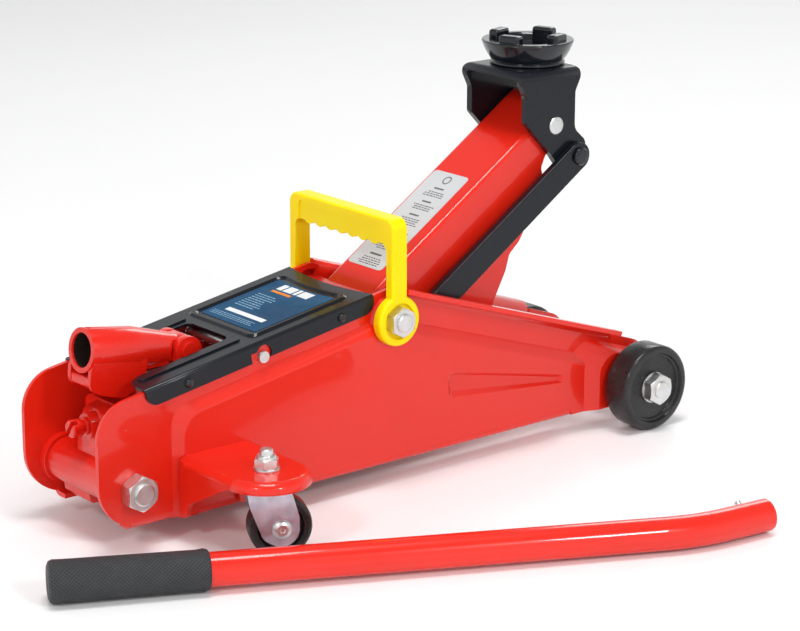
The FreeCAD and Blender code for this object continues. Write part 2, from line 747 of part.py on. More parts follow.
def arm_point(s, n):
    angle = math.radians(ARM_ANGLE)
    return (MAIN_PIVOT[0] + s * math.cos(angle) - n * math.sin(angle),
            MAIN_PIVOT[1] + s * math.sin(angle) + n * math.cos(angle))


CRANK_S = CRANK_R * math.cos(math.radians(CRANK_ANGLE))
CRANK_N = CRANK_R * math.sin(math.radians(CRANK_ANGLE))
CRANK = arm_point(CRANK_S, CRANK_N)
TIP = arm_point(ARM_LENGTH, 0)
SLEEVE_R = 11.0
SLEEVE_HALF = 38.6


def arm_outline():
    """Side view of the channel, deep at the crank, cut back below the tip."""
    return [
        (-17.0, ARM_TOP, 9.0), (202.0, ARM_TOP, 9.0), (202.0, -11.5, 9.0), (166.0, -14.5, 4.0),
        (158.5, -19.0, 5.0), (155.5, -30.0, 6.0), (117.5, -47.5, 8.0), (106.5, -49.0, 6.0),
        (98.0, -56.0, 6.0), (62.0, -75.5, 14.0), (20.0, -76.0, 14.0),
        (CRANK_S - 9.0, CRANK_N - 14.0, 12.5), (CRANK_S - 13.5, CRANK_N + 8.0, 12.0),
    ]


def lift_arm():
    top = 260.0
    outer = block(-60, top, -ARM_HALF, ARM_HALF, -100, ARM_TOP)
    outer = eased(outer, 3.6, lambda e: along(e, X_AXIS) and e.Vertexes[0].Z > 0)
    half = ARM_HALF - ARM_SHEET
    inner = block(-61, top + 1, -half, half, -101, ARM_TOP - ARM_SHEET)
    inner = eased(inner, 1.5, lambda e: along(e, X_AXIS) and e.Vertexes[0].Z > 0)
    channel = outer.cut(inner).common(side_prism(arm_outline(), -60, 60))
    sleeve = rod(0, 0, -SLEEVE_HALF, SLEEVE_HALF, SLEEVE_R)
    crank_tube = rod(CRANK_S, CRANK_N, -half - 0.5, half + 0.5, 8.5)
    crank_tube = crank_tube.cut(rod(CRANK_S, CRANK_N, -14.5, 14.5, 9.0))
    solid = channel.fuse([sleeve, crank_tube])
    solid = solid.cut(rod(0, 0, -60, 60, M12 + RUNNING))
    solid = solid.cut(rod(CRANK_S, CRANK_N, -60, 60, 6.0))
    solid = solid.cut(rod(ARM_LENGTH, 0, -60, 60, M12 + RUNNING))
    return arm_place(solid.removeSplitter())


def arm_label():
    corners = [(25, -14, 3), (114, -14, 3), (114, 20.2, 3), (25, 20.2, 3)]
    return arm_place(plan_prism(corners, ARM_TOP, ARM_TOP + 0.3))


def crank_pin():
    """Carries the crank roller; its grooved ends hold the return springs."""
    x, z = CRANK
    half = 35.5
    solid = rod(x, z, -half, half, 6.0)
    for y in (-31.0, 31.0):
        solid = solid.cut(washer((x, z), y - 1.2, y + 1.2, 7.0, 4.4))
    return solid


def crank_roller():
    x, z = CRANK
    return washer((x, z), -13.5, 13.5, ROLLER_R, 6.0 + RUNNING)


# ---------------------------------------------------------------- links and saddle

LINK_FOOT = (MAIN_PIVOT[0] + LINK_OFFSET[0], MAIN_PIVOT[1] + LINK_OFFSET[1])
LINK_HEAD = (TIP[0] + LINK_OFFSET[0], TIP[1] + LINK_OFFSET[1])
STUD_R = 6.0
RIVET_R = 5.0


def link():
    """Right parallel link: flat bar with round ends."""
    angle = math.radians(ARM_ANGLE)
    e = V(math.cos(angle), 0, math.sin(angle)) * (ARM_LENGTH / 2)
    middle = V((LINK_FOOT[0] + LINK_HEAD[0]) / 2, 0, (LINK_FOOT[1] + LINK_HEAD[1]) / 2)
    y0 = -LINK_INNER - LINK_SHEET
    strip = block(-e.Length, e.Length, y0, -LINK_INNER, -LINK_HALF, LINK_HALF)
    strip = moved(strip, middle, FreeCAD.Rotation(Y_AXIS, -ARM_ANGLE))
    ends = [rod(x, z, y0, -LINK_INNER, LINK_HALF) for x, z in (LINK_FOOT, LINK_HEAD)]
    solid = strip.fuse(ends).removeSplitter()
    solid = eased(solid, 0.7, lambda edge: abs(edge.BoundBox.YLength) < 1e-4)
    solid = solid.cut(rod(LINK_FOOT[0], LINK_FOOT[1], -50, 0, STUD_R + RUNNING))
    return solid.cut(rod(LINK_HEAD[0], LINK_HEAD[1], -50, 0, RIVET_R + RUNNING))


def link_studs():
    """Shouldered studs welded inside the side plates: the links' lower pivots."""
    x, z = LINK_FOOT
    studs = []
    for side in (RIGHT, LEFT):
        back = rod(x, z, -PANEL_FACE + SHEET, -LINK_INNER - LINK_SHEET - 0.3, 8.0)
        nose = rod(x, z, -PANEL_FACE + SHEET, -LINK_INNER + 2.6, STUD_R)
        studs.append(on_side(back.fuse(nose).removeSplitter(), side))
    return studs


def stud_clips():
    x, z = LINK_FOOT
    y = -LINK_INNER + 0.3
    clip = washer((x, z), y, y + 1.2, 9.0, STUD_R)
    return [clip, mirrored(clip)]


def bracket_outline():
    x, z = TIP
    corners = [
        (-30.5, BRACKET_LID, 4), (-30.5, 30.0, 6), (-26.0, 21.0, 6), (-26.0, 4.0, 4),
        (-3.0, -20.0, 5), (6.0, -31.5, 8), (26.5, -31.5, 9.9), (26.5, -13.0, 6), (16.5, -4.0, 8),
        (16.5, 21.0, 6), (21.0, 30.0, 6), (21.0, BRACKET_LID, 4),
    ]
    return [(x + a, z + b, r) for a, b, r in corners]


def saddle_bracket():
    """Folded bracket: a lid under the saddle and two ears over the arm's tip."""
    x, z = TIP
    lid = z + BRACKET_LID
    outer_half = EAR_INNER + EAR_SHEET
    outer = block(x - 40, x + 40, -outer_half, outer_half, z - 40, lid)
    outer = eased(outer, 6.5, lambda e: along(e, X_AXIS) and e.Vertexes[0].Z > z)
    inner = block(x - 41, x + 41, -EAR_INNER, EAR_INNER, z - 41, lid - EAR_SHEET)
    inner = eased(inner, 2.0, lambda e: along(e, X_AXIS) and e.Vertexes[0].Z > z)
    solid = outer.cut(inner).common(side_prism(bracket_outline(), -60, 60))
    solid = solid.cut(rod(x, z, -60, 60, M12))
    solid = solid.cut(rod(LINK_HEAD[0], LINK_HEAD[1], -60, 60, RIVET_R))
    return solid.cut(post(x + SADDLE_X, 0, lid - 10, lid + 1, 9.0 + RUNNING)).removeSplitter()


def bracket_pin():
    """Peened pin: its rounded ends stand out of the bracket's ears."""
    x, z = TIP
    half = EAR_INNER + EAR_SHEET
    end = [(0, 0), (6.0, 0), (5.6, 0.7), (4.2, 1.1), (0, 1.2)]
    solid = rod(x, z, -half, half, M12)
    for side in (RIGHT, LEFT):
        solid = solid.fuse(turned(end, V(x, side * half, z), V(0, side, 0)))
    return solid


def link_rivets():
    """Rivets that join the links to the ears."""
    x, z = LINK_HEAD
    outer = LINK_INNER + LINK_SHEET + 0.2
    head = [(0, 0), (5.8, 0), (5.8, 1.6), (5.0, 2.6), (3.2, 2.9), (0, 2.9)]
    shank = rod(x, z, -outer, -EAR_INNER, RIVET_R)
    rivet = shank.fuse(turned(head, V(x, -outer, z), V(0, -1, 0)))
    collar = washer((x, z), -LINK_INNER + 0.1, -EAR_INNER - EAR_SHEET, 7.0, RIVET_R - 0.5)
    rivet = rivet.fuse(collar)
    return [rivet, mirrored(rivet)]


SADDLE_BASE = TIP[1] + BRACKET_LID + 0.2
LUG_RISE = 4.7         # lugs above the rim
SADDLE_RIM = 15.7


def saddle():
    """Cast cup with a flared rim, four lugs, and a spigot that turns in the bracket's lid."""
    r = SADDLE_R
    rim = SADDLE_RIM
    profile = [(0, -8.5), (9.0, -8.5), (9.0, 0), (24.0, 0), (24.6, 0.6), (24.5, 1.6), (23.6, 2.3),
               (24.4, 3.2), (26.0, 5.4), (27.8, 8.6), (29.2, 11.8), (r - 0.3, rim - 1.8),
               (r, rim - 0.8), (r - 0.4, rim - 0.1), (r - 1.4, rim), (25.0, rim),
               (23.6, rim - 1.4), (21.5, rim - 5.4), (17.0, rim - 8.0), (10.0, rim - 9.0),
               (0, rim - 9.0)]
    cup = turned(profile, V(0, 0, 0))
    for i in range(4):
        lug = block(r - 12.4, r - 4.6, -7.6, 7.6, rim - 6.0, rim + LUG_RISE)
        lug = eased(lug, 2.0, lambda e: e.Vertexes[0].Z > rim or e.Vertexes[-1].Z > rim)
        lug.rotate(V(0, 0, 0), Z_AXIS, SADDLE_TURN + 90 * i)
        cup = cup.fuse(lug)
    groove = turned([(7.4, -7.4), (10, -7.4), (10, -6.0), (7.4, -6.0)], V(0, 0, 0))
    cup = cup.cut(groove).removeSplitter()
    cup.translate(V(TIP[0] + SADDLE_X, 0, SADDLE_BASE))
    return cup


def saddle_clip():
    """Snap ring in the spigot's groove, under the lid."""
    ring = turned([(7.4, -7.3), (11.5, -7.3), (11.5, -6.1), (7.4, -6.1)],
                  V(TIP[0] + SADDLE_X, 0, SADDLE_BASE))
    return ring


# ---------------------------------------------------------------- hydraulic unit

def pump_block():
    """Casting: trunnion tube on the rear bolt, valve boss, cylinder body and pump tower."""
    x, z = REAR_BOLT
    half = PLATE_FACE - SHEET
    body = block(-190, BLOCK_FRONT, -26, 26, 31, 79)
    body = eased(body, 7.0, lambda e: along(e, X_AXIS))
    trunnion = rod(x, z, -half, half, 13.5)
    collars = rod(x, z, half - 6, half, 15.6).fuse(rod(x, z, -half, -half + 6, 15.6))
    neck = side_prism([(-205, 26, 6), (-205, 60, 4), (-200, 75, 5), (-186, 79, 0), (-186, 31, 0),
                       (-192, 24, 4)], -12, 12)
    valve_boss = bar(-206.5, -184, 0, VALVE_Z, 7.5)
    foot = side_prism([(-206, 30, 3), (-203, 17, 3), (-188, 17, 3), (-184, 33, 0)], 2, 30)
    tower = post(PLUNGER_X, 0, 75, TOWER_TOP, 11.5)
    px, pz = SOCKET_PIVOT
    ears = []
    for side in (RIGHT, LEFT):
        ear = side_prism([(px - 9, 76, 0), (px - 9, pz + 9, 8.9), (px + 9, pz + 9, 8.9),
                          (px + 9, 76, 0)], -13.0, -7.5)
        ears.append(on_side(ear, side))
    solid = body.fuse([trunnion, collars, neck, valve_boss, foot, tower] + ears)
    cuts = [
        rod(x, z, -60, 60, M14),
        bar(-171, BLOCK_FRONT + 1, 0, UNIT_AXIS, CYLINDER_R),
        bar(-215, -196, 0, VALVE_Z, 4.2 + RUNNING),
        post(PLUNGER_X, 0, 74, TOWER_TOP + 1, 9.0),
        rod(px, pz, -20, 20, 4.5),
        rod(-183.0, 50.0, -27, -20, 4.0),
        rod(-183.0, 50.0, 20, 27, 4.0),
    ]
    return solid.cut(Part.makeCompound(cuts)).removeSplitter()


def valve_plugs():
    """Hex-socket plugs that close the check-valve galleries."""
    plug = turned([(2.0, 0), (4.0, 0), (4.0, 6.0), (0, 6.0), (0, 2.5), (2.0, 2.5)],
                  V(-183.0, -26, 50.0), Y_AXIS)
    return [plug, mirrored(plug)]


FILLER_X = -100.0


def reservoir():
    wall = 2.4
    tube = bar(BLOCK_FRONT, TANK_FRONT, 0, UNIT_AXIS, TANK_R)
    tube = tube.cut(bar(BLOCK_FRONT, TANK_FRONT, 0, UNIT_AXIS, TANK_R - wall))
    return tube.cut(post(FILLER_X, 0, 60, 90, 4.0))



def filler_plug():
    """Rubber stopper in the top of the reservoir."""
    profile = [(0, 0), (4.0, 0), (4.0, 4.0), (6.5, 4.0), (6.5, 6.0), (5.0, 7.0), (0, 7.0)]
    return turned(profile, V(FILLER_X, 0, UNIT_AXIS + TANK_R - 3.4))


def cylinder_tube():
    tube = bar(-171, TANK_FRONT, 0, UNIT_AXIS, CYLINDER_R)
    return tube.cut(bar(-170, TANK_FRONT, 0, UNIT_AXIS, RAM_R + RUNNING))


def gland_nut():
    """Hex-flanged nut that closes the reservoir and guides the ram."""
    collar = bar(TANK_FRONT, TANK_FRONT + 3, 0, UNIT_AXIS, TANK_R)
    hexagon = hex_prism(40.0, 5.0, V(TANK_FRONT + 3, 0, UNIT_AXIS), X_AXIS)
    solid = collar.fuse(hexagon)
    return solid.cut(bar(TANK_FRONT, 0, 0, UNIT_AXIS, RAM_R + RUNNING))


def ram():
    back = RAM_END - RAM_HEAD - RAM_LENGTH
    solid = bar(back, RAM_END - RAM_HEAD, 0, UNIT_AXIS, RAM_R)
    groove = bar(back + 6, back + 9, 0, UNIT_AXIS, RAM_R + 1)
    groove = groove.cut(bar(back + 6, back + 9, 0, UNIT_AXIS, RAM_R - 2))
    return solid.cut(groove).fuse(bar(RAM_END - RAM_HEAD, RAM_END - 3, 0, UNIT_AXIS, 7.0))


def ram_seal():
    back = RAM_END - RAM_HEAD - RAM_LENGTH
    ring = bar(back + 6, back + 9, 0, UNIT_AXIS, RAM_R + RUNNING / 2)
    return ring.cut(bar(back + 6, back + 9, 0, UNIT_AXIS, RAM_R - 2))


def ram_head():
    """Hardened pad on the ram; its flat face rolls on the crank roller."""
    pad = block(RAM_END - RAM_HEAD, RAM_END, -13, 13, UNIT_AXIS - 15, UNIT_AXIS + 15)
    pad = eased(pad, 3.0, lambda e: along(e, X_AXIS))
    return pad.cut(bar(RAM_END - RAM_HEAD, RAM_END - 3, 0, UNIT_AXIS, 7.0))


def release_valve():
    """Valve spindle whose slotted end fits the notch in the lever."""
    spindle = bar(-207.5, -197, 0, VALVE_Z, 4.2)
    knob = turned([(0, 0), (5.4, 0), (5.4, 1.6), (4.2, 2.2), (4.2, 3.2), (5.4, 3.8), (5.4, 10.2),
                   (4.6, 11.0), (0, 11.0)], V(-206.8, 0, VALVE_Z), V(-1, 0, 0))
    slot = block(-221, -213.6, -1.5, 1.5, VALVE_Z - 7, VALVE_Z + 7)
    slot.rotate(V(0, 0, VALVE_Z), X_AXIS, 35)
    return spindle.fuse(knob).cut(slot).removeSplitter()


def pump_sleeve():
    """Screwed sleeve in the tower that the plunger slides in."""
    collar = hex_prism(20.0, 4.0, V(PLUNGER_X, 0, TOWER_TOP), Z_AXIS)
    sleeve = post(PLUNGER_X, 0, 74, TOWER_TOP, 9.0).fuse(collar)
    return sleeve.cut(post(PLUNGER_X, 0, 74, 95, PLUNGER_R + RUNNING)).removeSplitter()


PAD_Z = 96.5            # underside of the socket's pad, above the plunger


def plunger():
    top = PAD_Z - 0.35
    cap = turned([(0, top - 3.0), (8.5, top - 3.0), (8.5, top - 1.2), (7.0, top - 0.2), (0, top)],
                 V(PLUNGER_X, 0, 0))
    return post(PLUNGER_X, 0, 74.2, top - 2.0, PLUNGER_R).fuse(cap).removeSplitter()


def plunger_spring():
    """Return spring under the plunger's cap, as the tube that its coils fill."""
    tube = post(PLUNGER_X, 0, TOWER_TOP + 4.1, PAD_Z - 3.5, 8.3)
    return tube.cut(post(PLUNGER_X, 0, TOWER_TOP + 4.1, PAD_Z - 3.5, 6.6))


def handle_socket():
    """Forged lever socket: open tube, tapering neck with the pivot eye, and two cheeks."""
    px, pz = SOCKET_PIVOT
    mx, mz = SOCKET_MOUTH
    axis = V(px - mx, 0, pz - mz)
    reach = axis.Length
    axis.normalize()
    tube_end = 34.0
    tube = Part.makeCylinder(SOCKET_R, tube_end, V(mx, 0, mz), axis)
    neck = Part.makeCone(SOCKET_R, 8.2, reach - tube_end, V(mx, 0, mz) + axis * tube_end, axis)
    eye = rod(px, pz, -7.2, 7.2, 8.8)
    pad = block(PLUNGER_X - 9, PLUNGER_X + 9, -7.0, 7.0, PAD_Z, PAD_Z + 6)
    cheeks = []
    for side in (RIGHT, LEFT):
        cheek = side_prism([(-209.5, 103, 3), (-210.5, 93, 6), (-203, 88.5, 8), (-186, 83.5, 8),
                            (-172, 92, 5), (-169, 108, 5), (-206, 112, 5)], -12.4, -9.4)
        cheeks.append(on_side(cheek, side))
    bridge = side_prism([(-209.6, 99.5, 2), (-209.6, 93.5, 2), (-202, 90, 3), (-195, 92, 3),
                         (-195, 99.5, 2)], -10, 10)
    solid = tube.fuse([neck, eye, pad, bridge] + cheeks)
    solid = solid.common(block(-230, px + 20, -14, 14, 60, 140))
    bore = Part.makeCylinder(SOCKET_BORE, tube_end - 2 + 3, V(mx, 0, mz) - axis * 3, axis)
    solid = solid.cut(bore).cut(rod(px, pz, -20, 20, 4.5 + RUNNING))
    solid = solid.cut(rod(px, pz, 7.2, 20, 11).fuse(rod(px, pz, -20, -7.2, 11)))
    solid = solid.cut(block(PLUNGER_X - 9.5, PLUNGER_X + 9.5, -9.2, 9.2, 60, PAD_Z))
    slot_at = V(mx, 0, mz) + axis * 5.0
    slot = post(slot_at.x, 0, slot_at.z + 5, slot_at.z + 20, 2.0)
    solid = solid.cut(slot)
    return solid.removeSplitter()


def socket_pin():
    """Pivot pin of the socket, headed on the right, with a split pin on the left."""
    px, pz = SOCKET_PIVOT
    pin = rod(px, pz, -13.2, 16.5, 4.5).fuse(rod(px, pz, -15.0, -13.2, 6.0))
    split = post(px, 14.8, pz - 7, pz + 7, 1.0)
    return pin.fuse(split)


SPRING_Y = 31.0
SPRING_R = 5.5
SPRING_END = 11.0


def return_spring():
    """Right return spring, as the tube that its coils fill."""
    start = V(SPRING_ROD[0], -SPRING_Y, SPRING_ROD[1])
    run = V(CRANK[0], -SPRING_Y, CRANK[1]) - start
    length = run.Length - 2 * SPRING_END
    run.normalize()
    base = start + run * SPRING_END
    tube = Part.makeCylinder(SPRING_R, length, base, run)
    return tube.cut(Part.makeCylinder(SPRING_R - 1.8, length, base, run))


def spring_rod():
    """Zinc rod across the chassis; its ends show in the cover's notches."""
    solid = rod(SPRING_ROD[0], SPRING_ROD[1], -45.0, 45.0, 3.6)
    return solid


# ---------------------------------------------------------------- carry handle

def carry_handle():
    """Moulded handle: two legs with eyes on the main bolt, and a grip with finger waves."""
    x, z = MAIN_PIVOT
    leg_inner = 46.6
    leg_outer = EYE_OUTER
    w = HANDLE_WIDTH / 2
    under = HANDLE_TOP - 16.5
    outline = [(-leg_outer, z - 10, 0), (-leg_outer, HANDLE_TOP, 7), (leg_outer, HANDLE_TOP, 7),
               (leg_outer, z - 10, 0), (leg_inner, z - 10, 0), (leg_inner, under, 5),
               (-leg_inner, under, 5), (-leg_inner, z - 10, 0)]
    wire = rounded_wire(outline, lambda p: V(x - w, p.x, p.y))
    frame = Part.Face(wire).extrude(V(HANDLE_WIDTH, 0, 0))
    for i in range(-3, 4):
        wave = Part.makeCylinder(7.0, HANDLE_WIDTH, V(x - w, i * 11.0, under + 5.2), X_AXIS)
        frame = frame.fuse(wave)
    frame = eased(frame, 1.6, lambda e: e.BoundBox.ZMin > under - 30
                  and abs(e.BoundBox.XLength) < 0.01 and e.BoundBox.ZMax > HANDLE_TOP - 9)
    field = [(-43.0, under - 4, 0), (43.0, under - 4, 0), (43.0, HANDLE_TOP - 4.0, 3),
             (-43.0, HANDLE_TOP - 4.0, 3)]
    for x0 in (x - w - 1.2, x + w - 1.0):
        pocket = rounded_wire(field, lambda p: V(x0, p.x, p.y))
        frame = frame.cut(Part.Face(pocket).extrude(V(2.2, 0, 0)))
    eyes = []
    for side in (RIGHT, LEFT):
        eye = rod(x, z, -EYE_OUTER, -EYE_INNER, EYE_R)
        eye = eased(eye, 1.8, lambda e: abs(e.BoundBox.YMin + EYE_OUTER) < 0.01)
        eyes.append(on_side(eye, side))
    solid = frame.fuse(eyes)
    seats = rod(x, z, -60, -EYE_OUTER + EYE_SEAT, 11.6)
    solid = solid.cut(seats).cut(mirrored(seats))
    return solid.cut(rod(x, z, -60, 60, M12 + RUNNING)).removeSplitter()


def handle_washers():
    """Spacers between the side plates and the carry handle's eyes."""
    ring = washer(MAIN_PIVOT, -EYE_INNER + 0.1, -PANEL_FACE, 10.5, M12)
    return [ring, mirrored(ring)]


# ---------------------------------------------------------------- pump lever

def lever_place(shape):
    """From the lever's own frame, grip end at the origin and axis along +X, to the floor."""
    turn = FreeCAD.Rotation(Z_AXIS, LEVER_HEADING).multiply(FreeCAD.Rotation(Y_AXIS, LEVER_DIP))
    return moved(shape, LEVER_START, turn)


def lever_wire(start):
    bend = math.radians(LEVER_BEND)
    run = LEVER_BEND_R * math.tan(bend / 2)
    corner = V(LEVER_STRAIGHT, 0, 0)
    ahead = V(math.cos(bend), math.sin(bend), 0)
    centre = V(LEVER_STRAIGHT - run, LEVER_BEND_R, 0)
    middle = centre + V(math.sin(bend / 2), -math.cos(bend / 2), 0) * LEVER_BEND_R
    entry = corner - V(run, 0, 0)
    leave = corner + ahead * run
    return Part.Wire([
        Part.LineSegment(V(start, 0, 0), entry).toShape(),
        Part.Arc(entry, middle, leave).toShape(),
        Part.LineSegment(leave, corner + ahead * LEVER_END).toShape(),
    ])


def swept(wire, start, r):
    circle = Part.Wire(Part.makeCircle(r, V(start, 0, 0), X_AXIS))
    return wire.makePipeShell([circle], True, True)


def lever_tube():
    start = 3.0
    wire = lever_wire(start)
    tube = swept(wire, start, LEVER_R).cut(swept(wire, start, LEVER_R - 1.6))
    return lever_place(tube.cut(pin_shape(2.0)))


def pin_shape(r):
    """Cross pin of the lever, short of the bent end, standing out on one side."""
    bend = math.radians(LEVER_BEND)
    at = V(LEVER_STRAIGHT, 0, 0) + V(math.cos(bend), math.sin(bend), 0) * (LEVER_END - 15.0)
    out = V(-math.sin(bend), math.cos(bend), 0)
    tilt = FreeCAD.Rotation(V(math.cos(bend), math.sin(bend), 0), 40)
    out = tilt.multVec(out)
    return Part.makeCylinder(r, 5.0, at + out * (LEVER_R - 2.4), out)


def lever_pin():
    return lever_place(pin_shape(2.0))


def lever_grip():
    """Rubber sleeve, closed at its end and slightly waisted towards the tube."""
    length = GRIP_LENGTH
    profile = [(0, 0), (9.5, 0), (11.6, 0.9), (GRIP_R, 3.0), (GRIP_R - 0.2, 8), (GRIP_R - 0.7, length - 7),
               (GRIP_R - 0.2, length - 3.0), (GRIP_R - 0.9, length - 0.8), (LEVER_R + 0.6, length),
               (LEVER_R, length), (LEVER_R, 3.0), (0, 3.0)]
    return lever_place(turned(profile, V(0, 0, 0), X_AXIS))


# ---------------------------------------------------------------- write the sub-parts

def build():
    """All sub-parts by name. A list is a group of separate identical solids."""
    nodes = {
        "cover_plate": cover(),
        "cover_label": cover_label(),
        "cover_screws": cover_screws(),
        "spring_rod": spring_rod(),
        "rear_bolt": cross_bolt(REAR_BOLT, M14, NUT_M14, PLATE_FACE, 9.0),
        "rear_nut": nut_on(REAR_BOLT, M14, NUT_M14, -PLATE_FACE, RIGHT, 9.0),
        "main_pivot_bolt": cross_bolt(MAIN_PIVOT, M12, NUT_PIVOT, EYE_OUTER - EYE_SEAT,
                                      NUT_HEIGHT),
        "main_pivot_nut": nut_on(MAIN_PIVOT, M12, NUT_PIVOT, -EYE_OUTER + EYE_SEAT, RIGHT,
                                 NUT_HEIGHT),
        "handle_washers": handle_washers(),
        "front_axle": front_axle(),
        "axle_spacer": washer(FRONT_AXLE, -BOSS_FACE + SHEET, BOSS_FACE - SHEET, SPACER_R, M12),
        "axle_washers": axle_washers(),
        "axle_nuts": [nut_on(FRONT_AXLE, M12, NUT_M12, side * (WHEEL_WEB + HUB_GAP + WASHER),
                             side, NUT_HEIGHT) for side in (RIGHT, LEFT)],
        "link_studs": link_studs(),
        "stud_clips": stud_clips(),
        "pump_block": pump_block(),
        "valve_plugs": valve_plugs(),
        "reservoir_tube": reservoir(),
        "filler_plug": filler_plug(),
        "cylinder_tube": cylinder_tube(),
        "gland_nut": gland_nut(),
        "pump_sleeve": pump_sleeve(),
        "socket_pin": socket_pin(),
        "ram": ram(),
        "ram_seal": ram_seal(),
        "ram_head": ram_head(),
        "release_valve": release_valve(),
        "handle_socket": handle_socket(),
        "plunger": plunger(),
        "plunger_spring": plunger_spring(),
        "return_springs": [return_spring(), mirrored(return_spring())],
        "caster_stems": [placed_caster(caster_stem(), side) for side in (RIGHT, LEFT)],
        "caster_nuts": [placed_caster(caster_nut(), side) for side in (RIGHT, LEFT)],
        "lift_arm": lift_arm(),
        "arm_label": arm_label(),
        "crank_pin": crank_pin(),
        "crank_roller": crank_roller(),
        "saddle_bracket": saddle_bracket(),
        "bracket_pin": bracket_pin(),
        "link_rivets": link_rivets(),
        "saddle": saddle(),
        "saddle_clip": saddle_clip(),
        "carry_handle": carry_handle(),
        "lever_tube": lever_tube(),
        "lever_grip": lever_grip(),
        "lever_pin": lever_pin(),
    }
    plate = side_plate().cut(screw_holes())
    bracket = caster_bracket()
    for name, side in SIDES:
        nodes["side_plate_" + name] = on_side(plate, side)
        nodes["caster_bracket_" + name] = on_side(bracket, side)
        nodes["front_wheel_" + name] = on_side(front_wheel(), side)
        nodes["link_" + name] = on_side(link(), side)
        nodes["caster_fork_" + name] = placed_caster(caster_fork(), side)
        nodes["caster_axle_" + name] = placed_caster(caster_axle(), side)
        nodes["caster_wheel_" + name] = placed_caster(caster_wheel(), side)
    return nodes


def main():
    os.makedirs("parts", exist_ok=True)
    for name, shape in build().items():
        if isinstance(shape, list):
            shape = Part.makeCompound(shape)
        if not shape.isValid() or not shape.Solids:
            print("check", name)
        shape.exportStep("parts/" + name + ".step")


main()
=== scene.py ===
import json
import math
import random

import bpy
from mathutils import Matrix, Vector


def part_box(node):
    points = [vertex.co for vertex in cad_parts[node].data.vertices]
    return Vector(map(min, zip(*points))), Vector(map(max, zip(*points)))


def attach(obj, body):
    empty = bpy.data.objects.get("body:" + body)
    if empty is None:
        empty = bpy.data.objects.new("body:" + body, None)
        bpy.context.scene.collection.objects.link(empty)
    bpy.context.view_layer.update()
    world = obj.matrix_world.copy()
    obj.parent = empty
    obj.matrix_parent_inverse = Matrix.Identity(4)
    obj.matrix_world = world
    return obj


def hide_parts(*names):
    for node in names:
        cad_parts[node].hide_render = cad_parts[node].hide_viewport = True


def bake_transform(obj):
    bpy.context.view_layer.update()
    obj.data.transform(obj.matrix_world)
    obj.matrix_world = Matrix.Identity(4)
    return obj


# The looks of a hydraulic trolley jack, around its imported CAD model, in the model's frame:
# +X towards the saddle, +Y to the left, +Z up. Lengths are in metres, unless a comment says
# that they are in millimetres. Noise scales count features per metre.

MM = 0.001
FULL_TURN = 2 * math.pi

# Camera: a long lens, from the right and behind the pump; angles in degrees, lens in mm
CAMERA_PLACE = (-0.96699, -1.22218, 0.54443)
CAMERA_YAW = 39.31
CAMERA_PITCH = -15.97
CAMERA_ROLL = 0.17
CAMERA_LENS = 114.31
CAMERA_SENSOR = 36.0
CAMERA_NEAR = 0.05
CAMERA_FAR = 60.0

# Studio: lights with their name, place, (width, height) and power in watts; the sky's strength
# at eye level and overhead; the floor, which lies a little under the wheels
LIGHT_AIM = (0.0, 0.0, 0.1)
LIGHTS = (
    ("key", (-0.2, -0.3, 2.8), (1.0, 0.8), 38.0),
    ("left_window", (-2.1, -0.9, 1.7), (0.24, 0.36), 15.0),
    ("right_window", (-0.1, -2.3, 1.5), (0.24, 0.36), 15.0),
    ("rim", (1.9, 1.2, 1.6), (0.8, 0.8), 9.0),
)
SKY_SIDE = 1.0
SKY_TOP = 0.35
SKY_RISE = (0.15, 0.80)
FLOOR_REACH = 9.0
FLOOR_DROP = 0.0004

# Rounding of edges that turn by more than EDGE_SHARP, in millimetres, by the CAD model's
# material slots; corners closer than WELD_REACH are joined first
EDGE_WIDTHS = {
    "red_paint": 0.5, "red_cast": 0.9, "lever_red": 0.3, "black_paint": 0.45, "zinc": 0.22,
    "steel": 0.25, "tank_red": 0.4, "black_rubber": 0.4, "wheel_black": 0.35,
    "yellow_plastic": 0.5, "blue_label": 0.05, "white_label": 0.05,
}
EDGE_SHARP = math.radians(32)
WELD_REACH = 0.00002

# Nodes whose long thin facets shade badly once their edges are rounded
PLAIN_EDGES = ("link_right", "link_left", "lever_tube")

# Nodes that look different from the rest of their slot
OWN_MATERIAL = {
    "lever_grip": "grip_rubber", "saddle": "black_cast", "link_rivets": "black_cast",
    "release_valve": "red_cast", "socket_pin": "red_cast", "handle_socket": "socket_red",
    "caster_fork_right": "fork_zinc", "caster_fork_left": "fork_zinc",
    "cover_screws": "black_cast",
}

# Places that the CAD model gives, in millimetres; a pair is x and z. The socket's bore is
# painted near black as shade between the two depths, measured from its mouth.
MAIN_PIVOT = (-9.5, 108.0)
ARM_ANGLE = math.radians(33.8)
ARM_TOP = 9.0
CRANK = (-1.38, 50.57)
SPRING_ROD = (-107.8, 101.7)
COVER_REAR = (-192.5, 97.2)
COVER_SLOPE = math.radians(9.73)
LEVER_START = (-283.9, -78.9, 12.55)
LEVER_HEADING = math.radians(-25.95)
SOCKET_MOUTH = (-208.0, 0.0, 114.5)
SOCKET_PIVOT = (-140.0, 0.0, 104.0)
BORE_RADIUS = 11.0
BORE_DEPTHS = (1.6, 33.0)

# Knurling of the grip: ridges around it, and radians of the pattern per metre along it
KNURL_AROUND = 34.0
KNURL_ALONG = 2600.0
